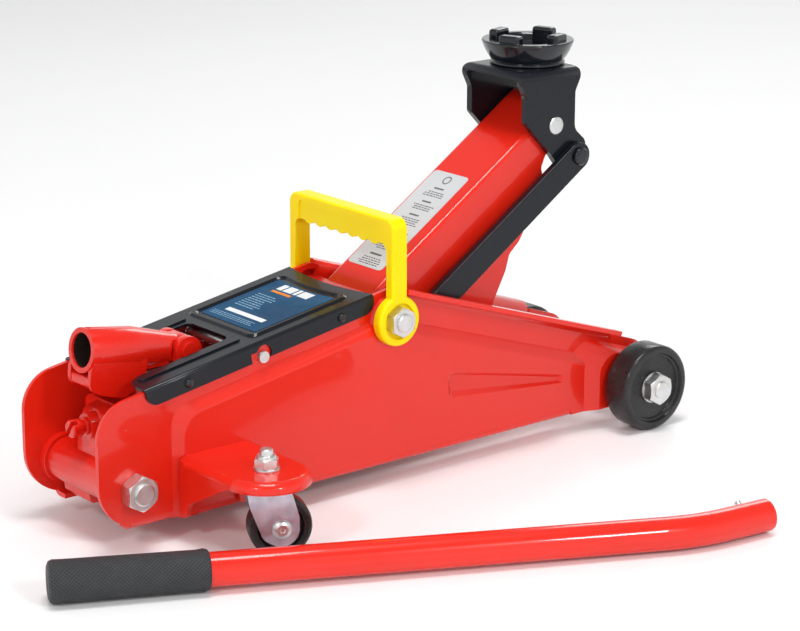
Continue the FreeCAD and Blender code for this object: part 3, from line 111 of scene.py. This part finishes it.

# Springs, in millimetres: radii of the coil and of the wire, turns, steps in one turn. The two
# return springs lie RETURN_SIDE either side of the middle, with a round hook at each end.
# Hook sizes are in coil radii.
WIRE_SIDES = 8
RETURN_COIL = 4.4
RETURN_WIRE = 1.05
RETURN_TURNS = 32
RETURN_STEPS = 16
RETURN_SIDE = 31.0
HOOK_SIZE = 0.98
HOOK_LEAD = 0.9
HOOK_SWEEP = FULL_TURN * 0.62
HOOK_STEPS = 12
PLUNGER_X = -160.0
PLUNGER_COIL = 7.4
PLUNGER_WIRE = 0.6
PLUNGER_TURNS = 2.6
PLUNGER_STEPS = 24

# Labels, in millimetres: the film's top above the metal, the ink on it, words and gaps
LABEL_FACE = 0.3
INK_THICKNESS = 0.12
WORD_WIDTHS = (1.2, 3.4)
WORD_GAP = 0.8
SHORTEST_WORD = 1.0

# Print on the cover: from and to along its slope, then from and to across it
TITLE_ROW = (141.5, 149.0)
TITLE_BARS = ((-17.0, 5.0), (-10.5, 8.5), (-0.5, 3.0), (4.0, 10.0))
BAND = (137.2, 139.6, -17.0, 2.0)
PLATE = (102.5, 106.5, -18.5, 20.0)
PARAGRAPH = (112, 133, -21.0, 2.0)
FOOTNOTE = (95, 100.5, -24.5, 20.0)

# Print on the arm: headed blocks of lines under a round sign, centred across the arm
ARM_PRINT_MIDDLE = 2.25
BLOCKS = 6
BLOCK_TOP = 100.0
BLOCK_PITCH = 12.6
HEADING_HEIGHT = 1.3
HEADING_HALVES = (4.2, 6.0)
LINE_START = 3.2
LINE_PITCH = 1.75
LINE_HEIGHT = 1.4
LINE_HALVES = (6.0, 11.0)
SIGN_CENTRE = 107.5
SIGN_RADII = (2.6, 3.5)
SIGN_SIDES = 28


# ---------------------------------------------------------------- shader helpers

def put(tree, kind, settings=None, inputs=None):
    """Add a node. An input may be a plain value or another node's output."""
    node = tree.nodes.new("ShaderNode" + kind)
    for name, value in (settings or {}).items():
        setattr(node, name, value)
    for key, value in (inputs or {}).items():
        if isinstance(value, bpy.types.NodeSocket):
            tree.links.new(value, node.inputs[key])
        else:
            node.inputs[key].default_value = value
    return node


def start_material(name):
    """A new material, with its node tree and its shader."""
    material = bpy.data.materials.new(name)
    material.use_nodes = True
    tree = material.node_tree
    return material, tree, tree.nodes["Principled BSDF"]


def maths(tree, operation, first, second=0.0):
    return put(tree, "Math", {"operation": operation}, {0: first, 1: second}).outputs[0]


def vector_maths(tree, operation, first, second=(0, 0, 0)):
    """Outputs of a vector node: the first is a vector, the second a number."""
    return put(tree, "VectorMath", {"operation": operation}, {0: first, 1: second}).outputs


def place_of(tree):
    """Position on the object, in metres; it moves with the object."""
    return put(tree, "TexCoord").outputs["Object"]


def noise(tree, scale, detail=2.0, vector=None, rough=0.5):
    node = put(tree, "TexNoise", inputs={"Vector": vector or place_of(tree), "Scale": scale,
                                         "Detail": detail, "Roughness": rough})
    return node.outputs["Fac"]


def spread(tree, value, low, high, start=0.3, end=0.7):
    """Map a texture's middle range smoothly onto low..high."""
    node = put(tree, "MapRange", {"interpolation_type": "SMOOTHSTEP"},
               {"Value": value, "From Min": start, "From Max": end, "To Min": low,
                "To Max": high})
    return node.outputs[0]


def blended(tree, factor, first, second):
    """Mix two colours, each a plain one or another node's output."""
    node = put(tree, "Mix", {"data_type": "RGBA"})
    for name, value in (("Factor", factor), ("A", first), ("B", second)):
        socket = [s for s in node.inputs if s.name == name and s.enabled][0]
        if isinstance(value, bpy.types.NodeSocket):
            tree.links.new(value, socket)
        else:
            socket.default_value = value if name == "Factor" else (*value, 1.0)
    return [s for s in node.outputs if s.enabled][0]


def bumped(tree, shader, layers):
    """Chain bump layers of (height, strength, distance in metres) into the shader's normal."""
    normal = None
    for height, strength, distance in layers:
        inputs = {"Height": height, "Strength": strength, "Distance": distance}
        if normal is not None:
            inputs["Normal"] = normal
        normal = put(tree, "Bump", inputs=inputs).outputs[0]
    tree.links.new(normal, shader.inputs["Normal"])


def feed(tree, shader, **sockets):
    """Set or link the shader's sockets; an underscore stands for a space in a socket's name."""
    for name, value in sockets.items():
        socket = shader.inputs[name.replace("_", " ")]
        if isinstance(value, bpy.types.NodeSocket):
            tree.links.new(value, socket)
        else:
            socket.default_value = value


# ---------------------------------------------------------------- materials

def enamel(name, colour, shade, gloss=0.30, cast=0.0, shine=0.20, coat=0.60):
    """Sprayed enamel: soft colour variation and orange peel; cast is the skin of a casting."""
    material, tree, shader = start_material(name)
    cloud = spread(tree, noise(tree, 9.0, 2.0), 0.0, 0.35)
    feed(tree, shader,
         Base_Color=blended(tree, cloud, colour, shade),
         Roughness=spread(tree, noise(tree, 35.0, 2.0), gloss - 0.02, gloss + 0.03),
         Specular_IOR_Level=shine, Coat_Weight=coat, Coat_Roughness=0.045)
    layers = [(noise(tree, 260.0, 2.0), 0.035, 0.0003)]
    if cast:
        layers.append((noise(tree, 170.0, 4.0, rough=0.55), cast, 0.0010))
    bumped(tree, shader, layers)
    return material


def socket_enamel(material):
    """Red enamel with painted shade: near black inside the bore of the lever's mouth."""
    tree = material.node_tree
    shader = tree.nodes["Principled BSDF"]
    mouth = Vector(SOCKET_MOUTH) * MM
    run = (Vector(SOCKET_PIVOT) * MM - mouth).normalized()
    shallow, deep = BORE_DEPTHS
    offset = vector_maths(tree, "SUBTRACT", place_of(tree), mouth)[0]
    depth = vector_maths(tree, "DOT_PRODUCT", offset, run)[1]
    across = vector_maths(tree, "CROSS_PRODUCT", offset, run)[0]
    reach = vector_maths(tree, "LENGTH", across)[1]
    near = maths(tree, "LESS_THAN", reach, BORE_RADIUS * MM)
    past = maths(tree, "GREATER_THAN", depth, shallow * MM)
    short = maths(tree, "LESS_THAN", depth, deep * MM)
    bore_shade = maths(tree, "MULTIPLY", near, maths(tree, "MULTIPLY", past, short))
    paint = shader.inputs["Base Color"].links[0].from_socket
    # near black in the bore: painted shade
    feed(tree, shader, Base_Color=blended(tree, bore_shade, paint, (0.020, 0.012, 0.010)))
    return material


def zinc_plate(name, colour, warm, rough):
    """Bright zinc plating with a slight warm cast in places and fine draw marks."""
    material, tree, shader = start_material(name)
    patches = spread(tree, noise(tree, 120.0, 3.0), 0.0, 0.7)
    feed(tree, shader, Metallic=1.0,
         Base_Color=blended(tree, patches, colour, warm),
         Roughness=spread(tree, noise(tree, 200.0, 3.0), rough - 0.05, rough + 0.08))
    drawn = put(tree, "Mapping", inputs={"Vector": place_of(tree), "Scale": (1.0, 0.12, 1.0)})
    marks = noise(tree, 600.0, 2.0, drawn.outputs[0])
    bumped(tree, shader, [(marks, 0.05, 0.0001)])
    return material


def ground_steel(name):
    """Turned and ground steel under a thin film of oil."""
    material, tree, shader = start_material(name)
    film = spread(tree, noise(tree, 70.0, 3.0), 0.0, 0.8)
    feed(tree, shader, Metallic=1.0,
         Base_Color=blended(tree, film, (0.50, 0.50, 0.51), (0.36, 0.34, 0.30)),
         Roughness=spread(tree, noise(tree, 300.0, 3.0), 0.22, 0.40))
    turning = put(tree, "TexWave", {"wave_type": "BANDS", "bands_direction": "X"},
                  {"Vector": place_of(tree), "Scale": 700.0, "Distortion": 1.5})
    bumped(tree, shader, [(turning.outputs["Fac"], 0.10, 0.0001)])
    return material


def rubber(name):
    """Dusty black rubber with a fine grain."""
    material, tree, shader = start_material(name)
    dust = spread(tree, noise(tree, 45.0, 5.0), 0.0, 0.7)
    feed(tree, shader,
         Base_Color=blended(tree, dust, (0.016, 0.016, 0.017), (0.035, 0.034, 0.033)),
         Roughness=spread(tree, noise(tree, 200.0, 3.0), 0.62, 0.80))
    bumped(tree, shader, [(noise(tree, 1500.0, 2.0), 0.25, 0.0002)])
    return material


def knurled_rubber(name):
    """Grip rubber with a fine raised diamond pattern that follows the lever, with painted shade
    in its grooves.
    """
    material, tree, shader = start_material(name)
    base = Vector(LEVER_START) * MM
    turned = put(tree, "VectorRotate", {"rotation_type": "Z_AXIS"},
                 {"Vector": place_of(tree), "Center": base, "Angle": -LEVER_HEADING})
    local = vector_maths(tree, "SUBTRACT", turned.outputs[0], base)[0]
    parts = put(tree, "SeparateXYZ", inputs={0: local}).outputs
    around = maths(tree, "MULTIPLY", maths(tree, "ARCTAN2", parts["Z"], parts["Y"]), KNURL_AROUND)
    along = maths(tree, "MULTIPLY", parts["X"], KNURL_ALONG)
    ridges = [maths(tree, "SINE", maths(tree, slant, along, around))
              for slant in ("ADD", "SUBTRACT")]
    height = maths(tree, "MAXIMUM", *ridges)
    # darker in the grooves than on the ridges: painted shade
    feed(tree, shader,
         Base_Color=blended(tree, spread(tree, height, 0.0, 1.0, 0.2, 1.0),
                            (0.010, 0.011, 0.013), (0.036, 0.038, 0.042)),
         Roughness=spread(tree, noise(tree, 120.0, 3.0), 0.50, 0.66))
    bumped(tree, shader, [(height, 0.55, 0.0004), (noise(tree, 1200.0), 0.10, 0.0001)])
    return material


def moulded_black(name):
    """Hard black plastic with a fine grain, slight waves and a faint bloom."""
    material, tree, shader = start_material(name)
    bloom = spread(tree, noise(tree, 55.0, 4.0), 0.0, 0.8)
    feed(tree, shader,
         Base_Color=blended(tree, bloom, (0.012, 0.012, 0.013), (0.026, 0.026, 0.027)),
         Roughness=spread(tree, noise(tree, 180.0, 3.0), 0.26, 0.40),
         Specular_IOR_Level=0.28, Coat_Weight=0.2, Coat_Roughness=0.08)
    bumped(tree, shader, [(noise(tree, 800.0, 2.0), 0.10, 0.0002),
                          (noise(tree, 60.0, 2.0), 0.10, 0.0008)])
    return material


def yellow_plastic(name):
    """Bright moulded plastic that lets a little light in."""
    material, tree, shader = start_material(name)
    flow = spread(tree, noise(tree, 24.0, 3.0), 0.0, 0.6)
    feed(tree, shader,
         Base_Color=blended(tree, flow, (1.0, 0.76, 0.0), (1.0, 0.70, 0.0)),
         Roughness=spread(tree, noise(tree, 160.0, 3.0), 0.30, 0.42),
         Subsurface_Weight=0.06, Subsurface_Scale=0.003,
         Specular_IOR_Level=0.12, Coat_Weight=0.1, Coat_Roughness=0.15)
    shader.inputs["Subsurface Radius"].default_value = (1.0, 0.6, 0.1)
    bumped(tree, shader, [(noise(tree, 1100.0, 2.0), 0.12, 0.0002),
                          (noise(tree, 110.0, 2.0), 0.08, 0.0008)])
    return material


def printed_film(name, first, second):
    """Label film: print that shades softly from one colour to the other."""
    material, tree, shader = start_material(name)
    wash = spread(tree, noise(tree, 16.0, 1.0), 0.0, 1.0)
    feed(tree, shader,
         Base_Color=blended(tree, wash, first, second),
         Roughness=spread(tree, noise(tree, 90.0, 3.0), 0.38, 0.50),
         Specular_IOR_Level=0.12)
    bumped(tree, shader, [(noise(tree, 1400.0, 1.0), 0.05, 0.0001),
                          (noise(tree, 70.0, 2.0), 0.06, 0.0006)])
    return material


def floor_material():
    """Matt white paper with hardly any tone."""
    material, tree, shader = start_material("pale_floor")
    cloud = spread(tree, noise(tree, 1.5, 3.0), 0.0, 1.0)
    feed(tree, shader, Base_Color=blended(tree, cloud, (0.93, 0.93, 0.93), (0.91, 0.91, 0.915)),
         Roughness=spread(tree, noise(tree, 30.0, 3.0), 0.55, 0.65))
    bumped(tree, shader, [(noise(tree, 250.0, 3.0), 0.03, 0.0004)])
    return material


def all_materials():
    """Every material, by the CAD model's slots and by the names this script adds."""
    red = (0.76, 0.018, 0.006)
    red_shade = (0.64, 0.012, 0.005)
    cast_red = (0.74, 0.014, 0.005)
    cast_shade = (0.60, 0.009, 0.004)
    black = (0.006, 0.008, 0.012)
    black_shade = (0.010, 0.012, 0.017)
    painted_socket = enamel("red_enamel_on_socket_shaded_bore", cast_red, cast_shade, gloss=0.28, cast=0.30)
    return {
        "red_paint": enamel("red_enamel", red, red_shade),
        "red_cast": enamel("red_enamel_on_casting", cast_red, cast_shade, gloss=0.28, cast=0.30),
        "lever_red": enamel("red_enamel_on_tube", (0.80, 0.022, 0.010), red_shade, gloss=0.24),
        # a darker copy of the red enamel for the tank inside the frame: painted shade
        "tank_red": enamel("red_enamel_painted_shade_inside", red_shade, (0.52, 0.010, 0.004)),
        "black_paint": enamel("black_enamel", black, black_shade, gloss=0.27, shine=0.18,
                              coat=0.25),
        "black_cast": enamel("black_enamel_on_casting", black, black_shade, gloss=0.22,
                             cast=0.30, shine=0.25, coat=0.50),
        "socket_red": socket_enamel(painted_socket),
        "zinc": zinc_plate("zinc_plate", (0.72, 0.73, 0.74), (0.62, 0.61, 0.57), 0.36),
        "fork_zinc": zinc_plate("satin_zinc", (0.64, 0.73, 0.83), (0.44, 0.51, 0.60), 0.42),
        "steel": ground_steel("ground_steel"),
        "black_rubber": rubber("black_rubber"),
        "grip_rubber": knurled_rubber("knurled_rubber"),
        "wheel_black": moulded_black("moulded_black"),
        "yellow_plastic": yellow_plastic("yellow_plastic"),
        "blue_label": printed_film("blue_print", (0.004, 0.045, 0.115), (0.008, 0.080, 0.180)),
        "white_label": printed_film("grey_print", (0.50, 0.51, 0.54), (0.58, 0.59, 0.61)),
        "print_white": printed_film("white_ink", (0.80, 0.82, 0.84), (0.72, 0.75, 0.78)),
        "print_orange": printed_film("orange_ink", (0.85, 0.30, 0.02), (0.75, 0.22, 0.02)),
        "print_dark": printed_film("dark_ink", (0.10, 0.10, 0.11), (0.16, 0.16, 0.17)),
        "print_blue": printed_film("pale_blue_ink", (0.25, 0.42, 0.56), (0.20, 0.36, 0.50)),
    }


# ---------------------------------------------------------------- CAD nodes

def soften(node, width):
    """Weld the corners and round the sharp edges of a CAD node."""
    weld = node.modifiers.new("weld", "WELD")
    weld.merge_threshold = WELD_REACH
    bevel = node.modifiers.new("soft_edges", "BEVEL")
    bevel.width = width
    bevel.segments = 2
    bevel.limit_method = "ANGLE"
    bevel.angle_limit = EDGE_SHARP
    bevel.harden_normals = True
    bevel.use_clamp_overlap = True


def finish_cad_nodes(frame, materials):
    """Give each CAD node its material and, unless it is in PLAIN_EDGES, rounded edges."""
    slots = {part["node"]: part["material_slot"] for part in frame["record"]["subparts"]}
    for name, node in frame["nodes"].items():
        slot = slots[name]
        material = materials[OWN_MATERIAL.get(name, slot)]
        if not node.material_slots:
            node.data.materials.append(material)
        for entry in node.material_slots:
            entry.material = material
        if name not in PLAIN_EDGES:
            soften(node, EDGE_WIDTHS[slot] * MM)


# ---------------------------------------------------------------- mesh helpers

def new_piece(name, vertices, faces, material, body, smooth=True):
    """A mesh object that rides on body, or on none."""
    mesh = bpy.data.meshes.new(name)
    mesh.from_pydata([tuple(v) for v in vertices], [], faces)
    mesh.update()
    for polygon in mesh.polygons:
        polygon.use_smooth = smooth
    piece = bpy.data.objects.new(name, mesh)
    bpy.context.scene.collection.objects.link(piece)
    mesh.materials.append(material)
    if body:
        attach(piece, body)
    return piece


def wire_mesh(points, radius):
    """Vertices and faces of a closed round wire along points."""
    vertices = []
    faces = []
    normal = None
    count = len(points)
    for i, point in enumerate(points):
        ahead = (points[min(i + 1, count - 1)] - points[max(i - 1, 0)]).normalized()
        if normal is None:
            normal = ahead.orthogonal().normalized()
        normal = (normal - ahead * normal.dot(ahead)).normalized()
        side = ahead.cross(normal)
        for k in range(WIRE_SIDES):
            angle = FULL_TURN * k / WIRE_SIDES
            vertices.append(point + (normal * math.cos(angle) + side * math.sin(angle)) * radius)
    for i in range(count - 1):
        for k in range(WIRE_SIDES):
            a = i * WIRE_SIDES + k
            b = i * WIRE_SIDES + (k + 1) % WIRE_SIDES
            faces.append((a, b, b + WIRE_SIDES, a + WIRE_SIDES))
    faces.append(tuple(range(WIRE_SIDES - 1, -1, -1)))
    faces.append(tuple(range((count - 1) * WIRE_SIDES, count * WIRE_SIDES)))
    return vertices, faces


# ---------------------------------------------------------------- springs

def hook_points(pin, run, up, first):
    """Centre line of a round hook about a pin, from the angle first on."""
    reach = RETURN_COIL * MM * HOOK_SIZE
    points = []
    for i in range(HOOK_STEPS + 1):
        angle = first + HOOK_SWEEP * i / HOOK_STEPS
        points.append(pin + run * (reach * math.cos(angle)) + up * (reach * math.sin(angle)))
    return points


def return_spring_line(start, end):
    """Centre line of a close-wound spring, with a round hook around a pin at each end."""
    radius = RETURN_COIL * MM
    run = (end - start).normalized()
    side = Vector((0, 1, 0))
    up = run.cross(side).normalized()
    gap = run * (radius * (HOOK_SIZE + HOOK_LEAD))
    points = hook_points(start, run, up, -HOOK_SWEEP)
    steps = RETURN_TURNS * RETURN_STEPS
    for i in range(steps + 1):
        angle = FULL_TURN * i / RETURN_STEPS
        along = (start + gap).lerp(end - gap, i / steps)
        points.append(along + (side * math.sin(angle) + up * math.cos(angle)) * radius)
    return points + hook_points(end, run, up, math.pi)


def return_springs(materials):
    """Two extension springs that pull the arm down, from the cross rod to the crank pin."""
    for name, side in (("right", -1), ("left", 1)):
        start = Vector((SPRING_ROD[0], side * RETURN_SIDE, SPRING_ROD[1])) * MM
        end = Vector((CRANK[0], side * RETURN_SIDE, CRANK[1])) * MM
        vertices, faces = wire_mesh(return_spring_line(start, end), RETURN_WIRE * MM)
        piece = new_piece("return_spring_" + name, vertices, faces, materials["steel"], None)
        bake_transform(piece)
    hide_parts("return_springs")


def plunger_spring(materials):
    """A short compression spring around the pump's plunger."""
    low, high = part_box("plunger_spring")
    wire = PLUNGER_WIRE * MM
    start = Vector((PLUNGER_X * MM, 0, low[2] + wire))
    end = Vector((PLUNGER_X * MM, 0, high[2] - wire))
    points = []
    steps = int(PLUNGER_TURNS * PLUNGER_STEPS)
    for i in range(steps + 1):
        angle = FULL_TURN * i / PLUNGER_STEPS
        rise = start.lerp(end, i / steps)
        points.append(rise + Vector((math.cos(angle), math.sin(angle), 0)) * PLUNGER_COIL * MM)
    vertices, faces = wire_mesh(points, wire)
    piece = new_piece("plunger_coil", vertices, faces, materials["steel"], None)
    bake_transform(piece)
    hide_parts("plunger_spring")


# ---------------------------------------------------------------- labels

def on_slope(origin, angle, along, y, above):
    """Point in a tilted frame whose origin, given as x and z, and offsets are in mm."""
    x = origin[0] + along * math.cos(angle) - above * math.sin(angle)
    z = origin[1] + along * math.sin(angle) + above * math.cos(angle)
    return Vector((x, y, z)) * MM


def cover_spot(along, across, above):
    """Point on the cover, along its slope from its rear edge and across to the right."""
    return on_slope(COVER_REAR, COVER_SLOPE, along, -across, above)


def arm_spot(along, across, above):
    """Point on the arm, along it from the main pivot and across to the left."""
    return on_slope(MAIN_PIVOT, ARM_ANGLE, along, across, ARM_TOP + above)


def stamp(cells, spot):
    """Vertices and faces of thin printed plates; cells are (a0, a1, b0, b1) on the surface."""
    vertices = []
    faces = []
    for a0, a1, b0, b1 in cells:
        base = len(vertices)
        for height in (LABEL_FACE, LABEL_FACE + INK_THICKNESS):
            for a, b in ((a0, b0), (a1, b0), (a1, b1), (a0, b1)):
                vertices.append(spot(a, b, height))
        faces += [(base + 3, base + 2, base + 1, base), (base + 4, base + 5, base + 6, base + 7)]
        for k in range(4):
            n = (k + 1) % 4
            faces.append((base + k, base + n, base + 4 + n, base + 4 + k))
    return vertices, faces


def text_like(area, rows, seed, fill, ragged):
    """Rows of short bars that read as lines of small print, running along b."""
    a0, a1, b0, b1 = area
    chance = random.Random(seed)
    cells = []
    pitch = (a1 - a0) / rows
    for row in range(rows):
        a = a0 + row * pitch
        end = b1 - (b1 - b0) * ragged * chance.random()
        b = b0
        while b < end - SHORTEST_WORD:
            width = chance.uniform(*WORD_WIDTHS)
            cells.append((a, a + pitch * fill, b, min(b + width, end)))
            b += width + WORD_GAP
    return cells


def cover_print(materials):
    """Generic print on the cover's label: a title bar, a band, small print and a plate."""
    title = [(*TITLE_ROW, b, b + width) for b, width in TITLE_BARS]
    lines = text_like(PARAGRAPH, 8, 5, 0.36, 0.3) + text_like(FOOTNOTE, 3, 7, 0.36, 0.1)
    for name, cells, material, slot in (
            ("cover_print_title", title + [PLATE], "print_white", "white_label"),
            ("cover_print_band", [BAND], "print_orange", "white_label"),
            ("cover_print_lines", lines, "print_blue", "blue_label")):
        vertices, faces = stamp(cells, cover_spot)
        new_piece(name, vertices, faces, materials[material], "chassis", False)


def arm_lines():
    """Cells of the headed blocks of small print on the arm's label."""
    chance = random.Random(3)
    middle = ARM_PRINT_MIDDLE
    cells = []
    for block in range(BLOCKS):
        top = BLOCK_TOP - BLOCK_PITCH * block
        half = chance.uniform(*HEADING_HALVES)
        cells.append((top - HEADING_HEIGHT, top, middle - half, middle + half))
        for row in range(chance.choice((3, 4))):
            half = chance.uniform(*LINE_HALVES)
            a = top - LINE_START - LINE_PITCH * row
            area = (a - LINE_HEIGHT, a, middle - half, middle + half)
            cells += text_like(area, 1, block * 9 + row, 0.50, 0.0)
    return cells


def ring_sign():
    """Vertices and faces of the round sign above the arm's small print."""
    vertices = []
    faces = []
    for k in range(SIGN_SIDES):
        turn = FULL_TURN * k / SIGN_SIDES
        for radius in SIGN_RADII:
            for rise in (0.0, INK_THICKNESS):
                vertices.append(arm_spot(SIGN_CENTRE + radius * math.sin(turn),
                                         ARM_PRINT_MIDDLE + radius * math.cos(turn),
                                         LABEL_FACE + rise))
        here = 4 * k
        ahead = 4 * ((k + 1) % SIGN_SIDES)
        faces += [(here + i, ahead + i, ahead + j, here + j)
                  for i, j in ((1, 3), (3, 2), (2, 0), (0, 1))]
    return vertices, faces


def arm_print(materials):
    """Generic print on the arm's label: centred blocks of small print under a round sign."""
    for name, (vertices, faces) in (("arm_print_lines", stamp(arm_lines(), arm_spot)),
                                    ("arm_print_sign", ring_sign())):
        new_piece(name, vertices, faces, materials["print_dark"], "lift_arm",
                  False)


# ---------------------------------------------------------------- stage

def floor():
    size = FLOOR_REACH
    mesh = bpy.data.meshes.new("floor")
    corners = [(-size, -size, 0), (size, -size, 0), (size, size, 0), (-size, size, 0)]
    mesh.from_pydata(corners, [], [(0, 1, 2, 3)])
    plane = bpy.data.objects.new("floor", mesh)
    plane.location.z = -FLOOR_DROP
    bpy.context.scene.collection.objects.link(plane)
    mesh.materials.append(floor_material())


def soft_light(name, place, size, power):
    """A rectangular area light that faces the middle of the jack."""
    data = bpy.data.lights.new(name, "AREA")
    data.shape = "RECTANGLE"
    data.size, data.size_y = size
    data.energy = power
    light = bpy.data.objects.new(name, data)
    light.location = place
    aim = Vector(LIGHT_AIM) - Vector(place)
    light.rotation_euler = aim.to_track_quat("-Z", "Y").to_euler()
    bpy.context.scene.collection.objects.link(light)


def sky():
    """Even studio: white all round at eye level, dimmer overhead."""
    world = bpy.data.worlds.new("studio")
    world.use_nodes = True
    tree = world.node_tree
    height = put(tree, "SeparateXYZ", inputs={0: put(tree, "TexCoord").outputs["Generated"]})
    rise = spread(tree, height.outputs["Z"], SKY_SIDE, SKY_TOP, *SKY_RISE)
    background = tree.nodes["Background"]
    background.inputs["Color"].default_value = (1.0, 1.0, 1.0, 1.0)
    tree.links.new(rise, background.inputs["Strength"])
    bpy.context.scene.world = world


def studio():
    floor()
    sky()
    for name, place, size, power in LIGHTS:
        soft_light(name, place, size, power)
    bpy.context.scene.view_settings.view_transform = "Standard"


def camera():
    data = bpy.data.cameras.new("camera")
    data.lens = CAMERA_LENS
    data.sensor_width = CAMERA_SENSOR
    data.clip_start = CAMERA_NEAR
    data.clip_end = CAMERA_FAR
    eye = bpy.data.objects.new("camera", data)
    eye.location = CAMERA_PLACE
    turn = (Matrix.Rotation(-math.radians(CAMERA_YAW), 3, "Z")
            @ Matrix.Rotation(math.radians(90 + CAMERA_PITCH), 3, "X")
            @ Matrix.Rotation(math.radians(CAMERA_ROLL), 3, "Z"))
    eye.rotation_euler = turn.to_euler()
    bpy.context.scene.collection.objects.link(eye)
    bpy.context.scene.camera = eye


with open("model.json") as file:
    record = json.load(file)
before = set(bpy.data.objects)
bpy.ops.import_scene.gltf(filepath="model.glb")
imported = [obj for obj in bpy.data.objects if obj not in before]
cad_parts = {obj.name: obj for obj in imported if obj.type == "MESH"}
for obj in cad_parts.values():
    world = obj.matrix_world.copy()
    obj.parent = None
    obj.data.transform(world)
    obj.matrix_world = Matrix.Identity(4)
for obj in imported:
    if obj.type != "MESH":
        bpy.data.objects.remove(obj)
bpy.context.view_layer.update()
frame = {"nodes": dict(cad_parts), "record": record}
materials = all_materials()
finish_cad_nodes(frame, materials)
return_springs(materials)
plunger_spring(materials)
cover_print(materials)
arm_print(materials)
studio()
camera()
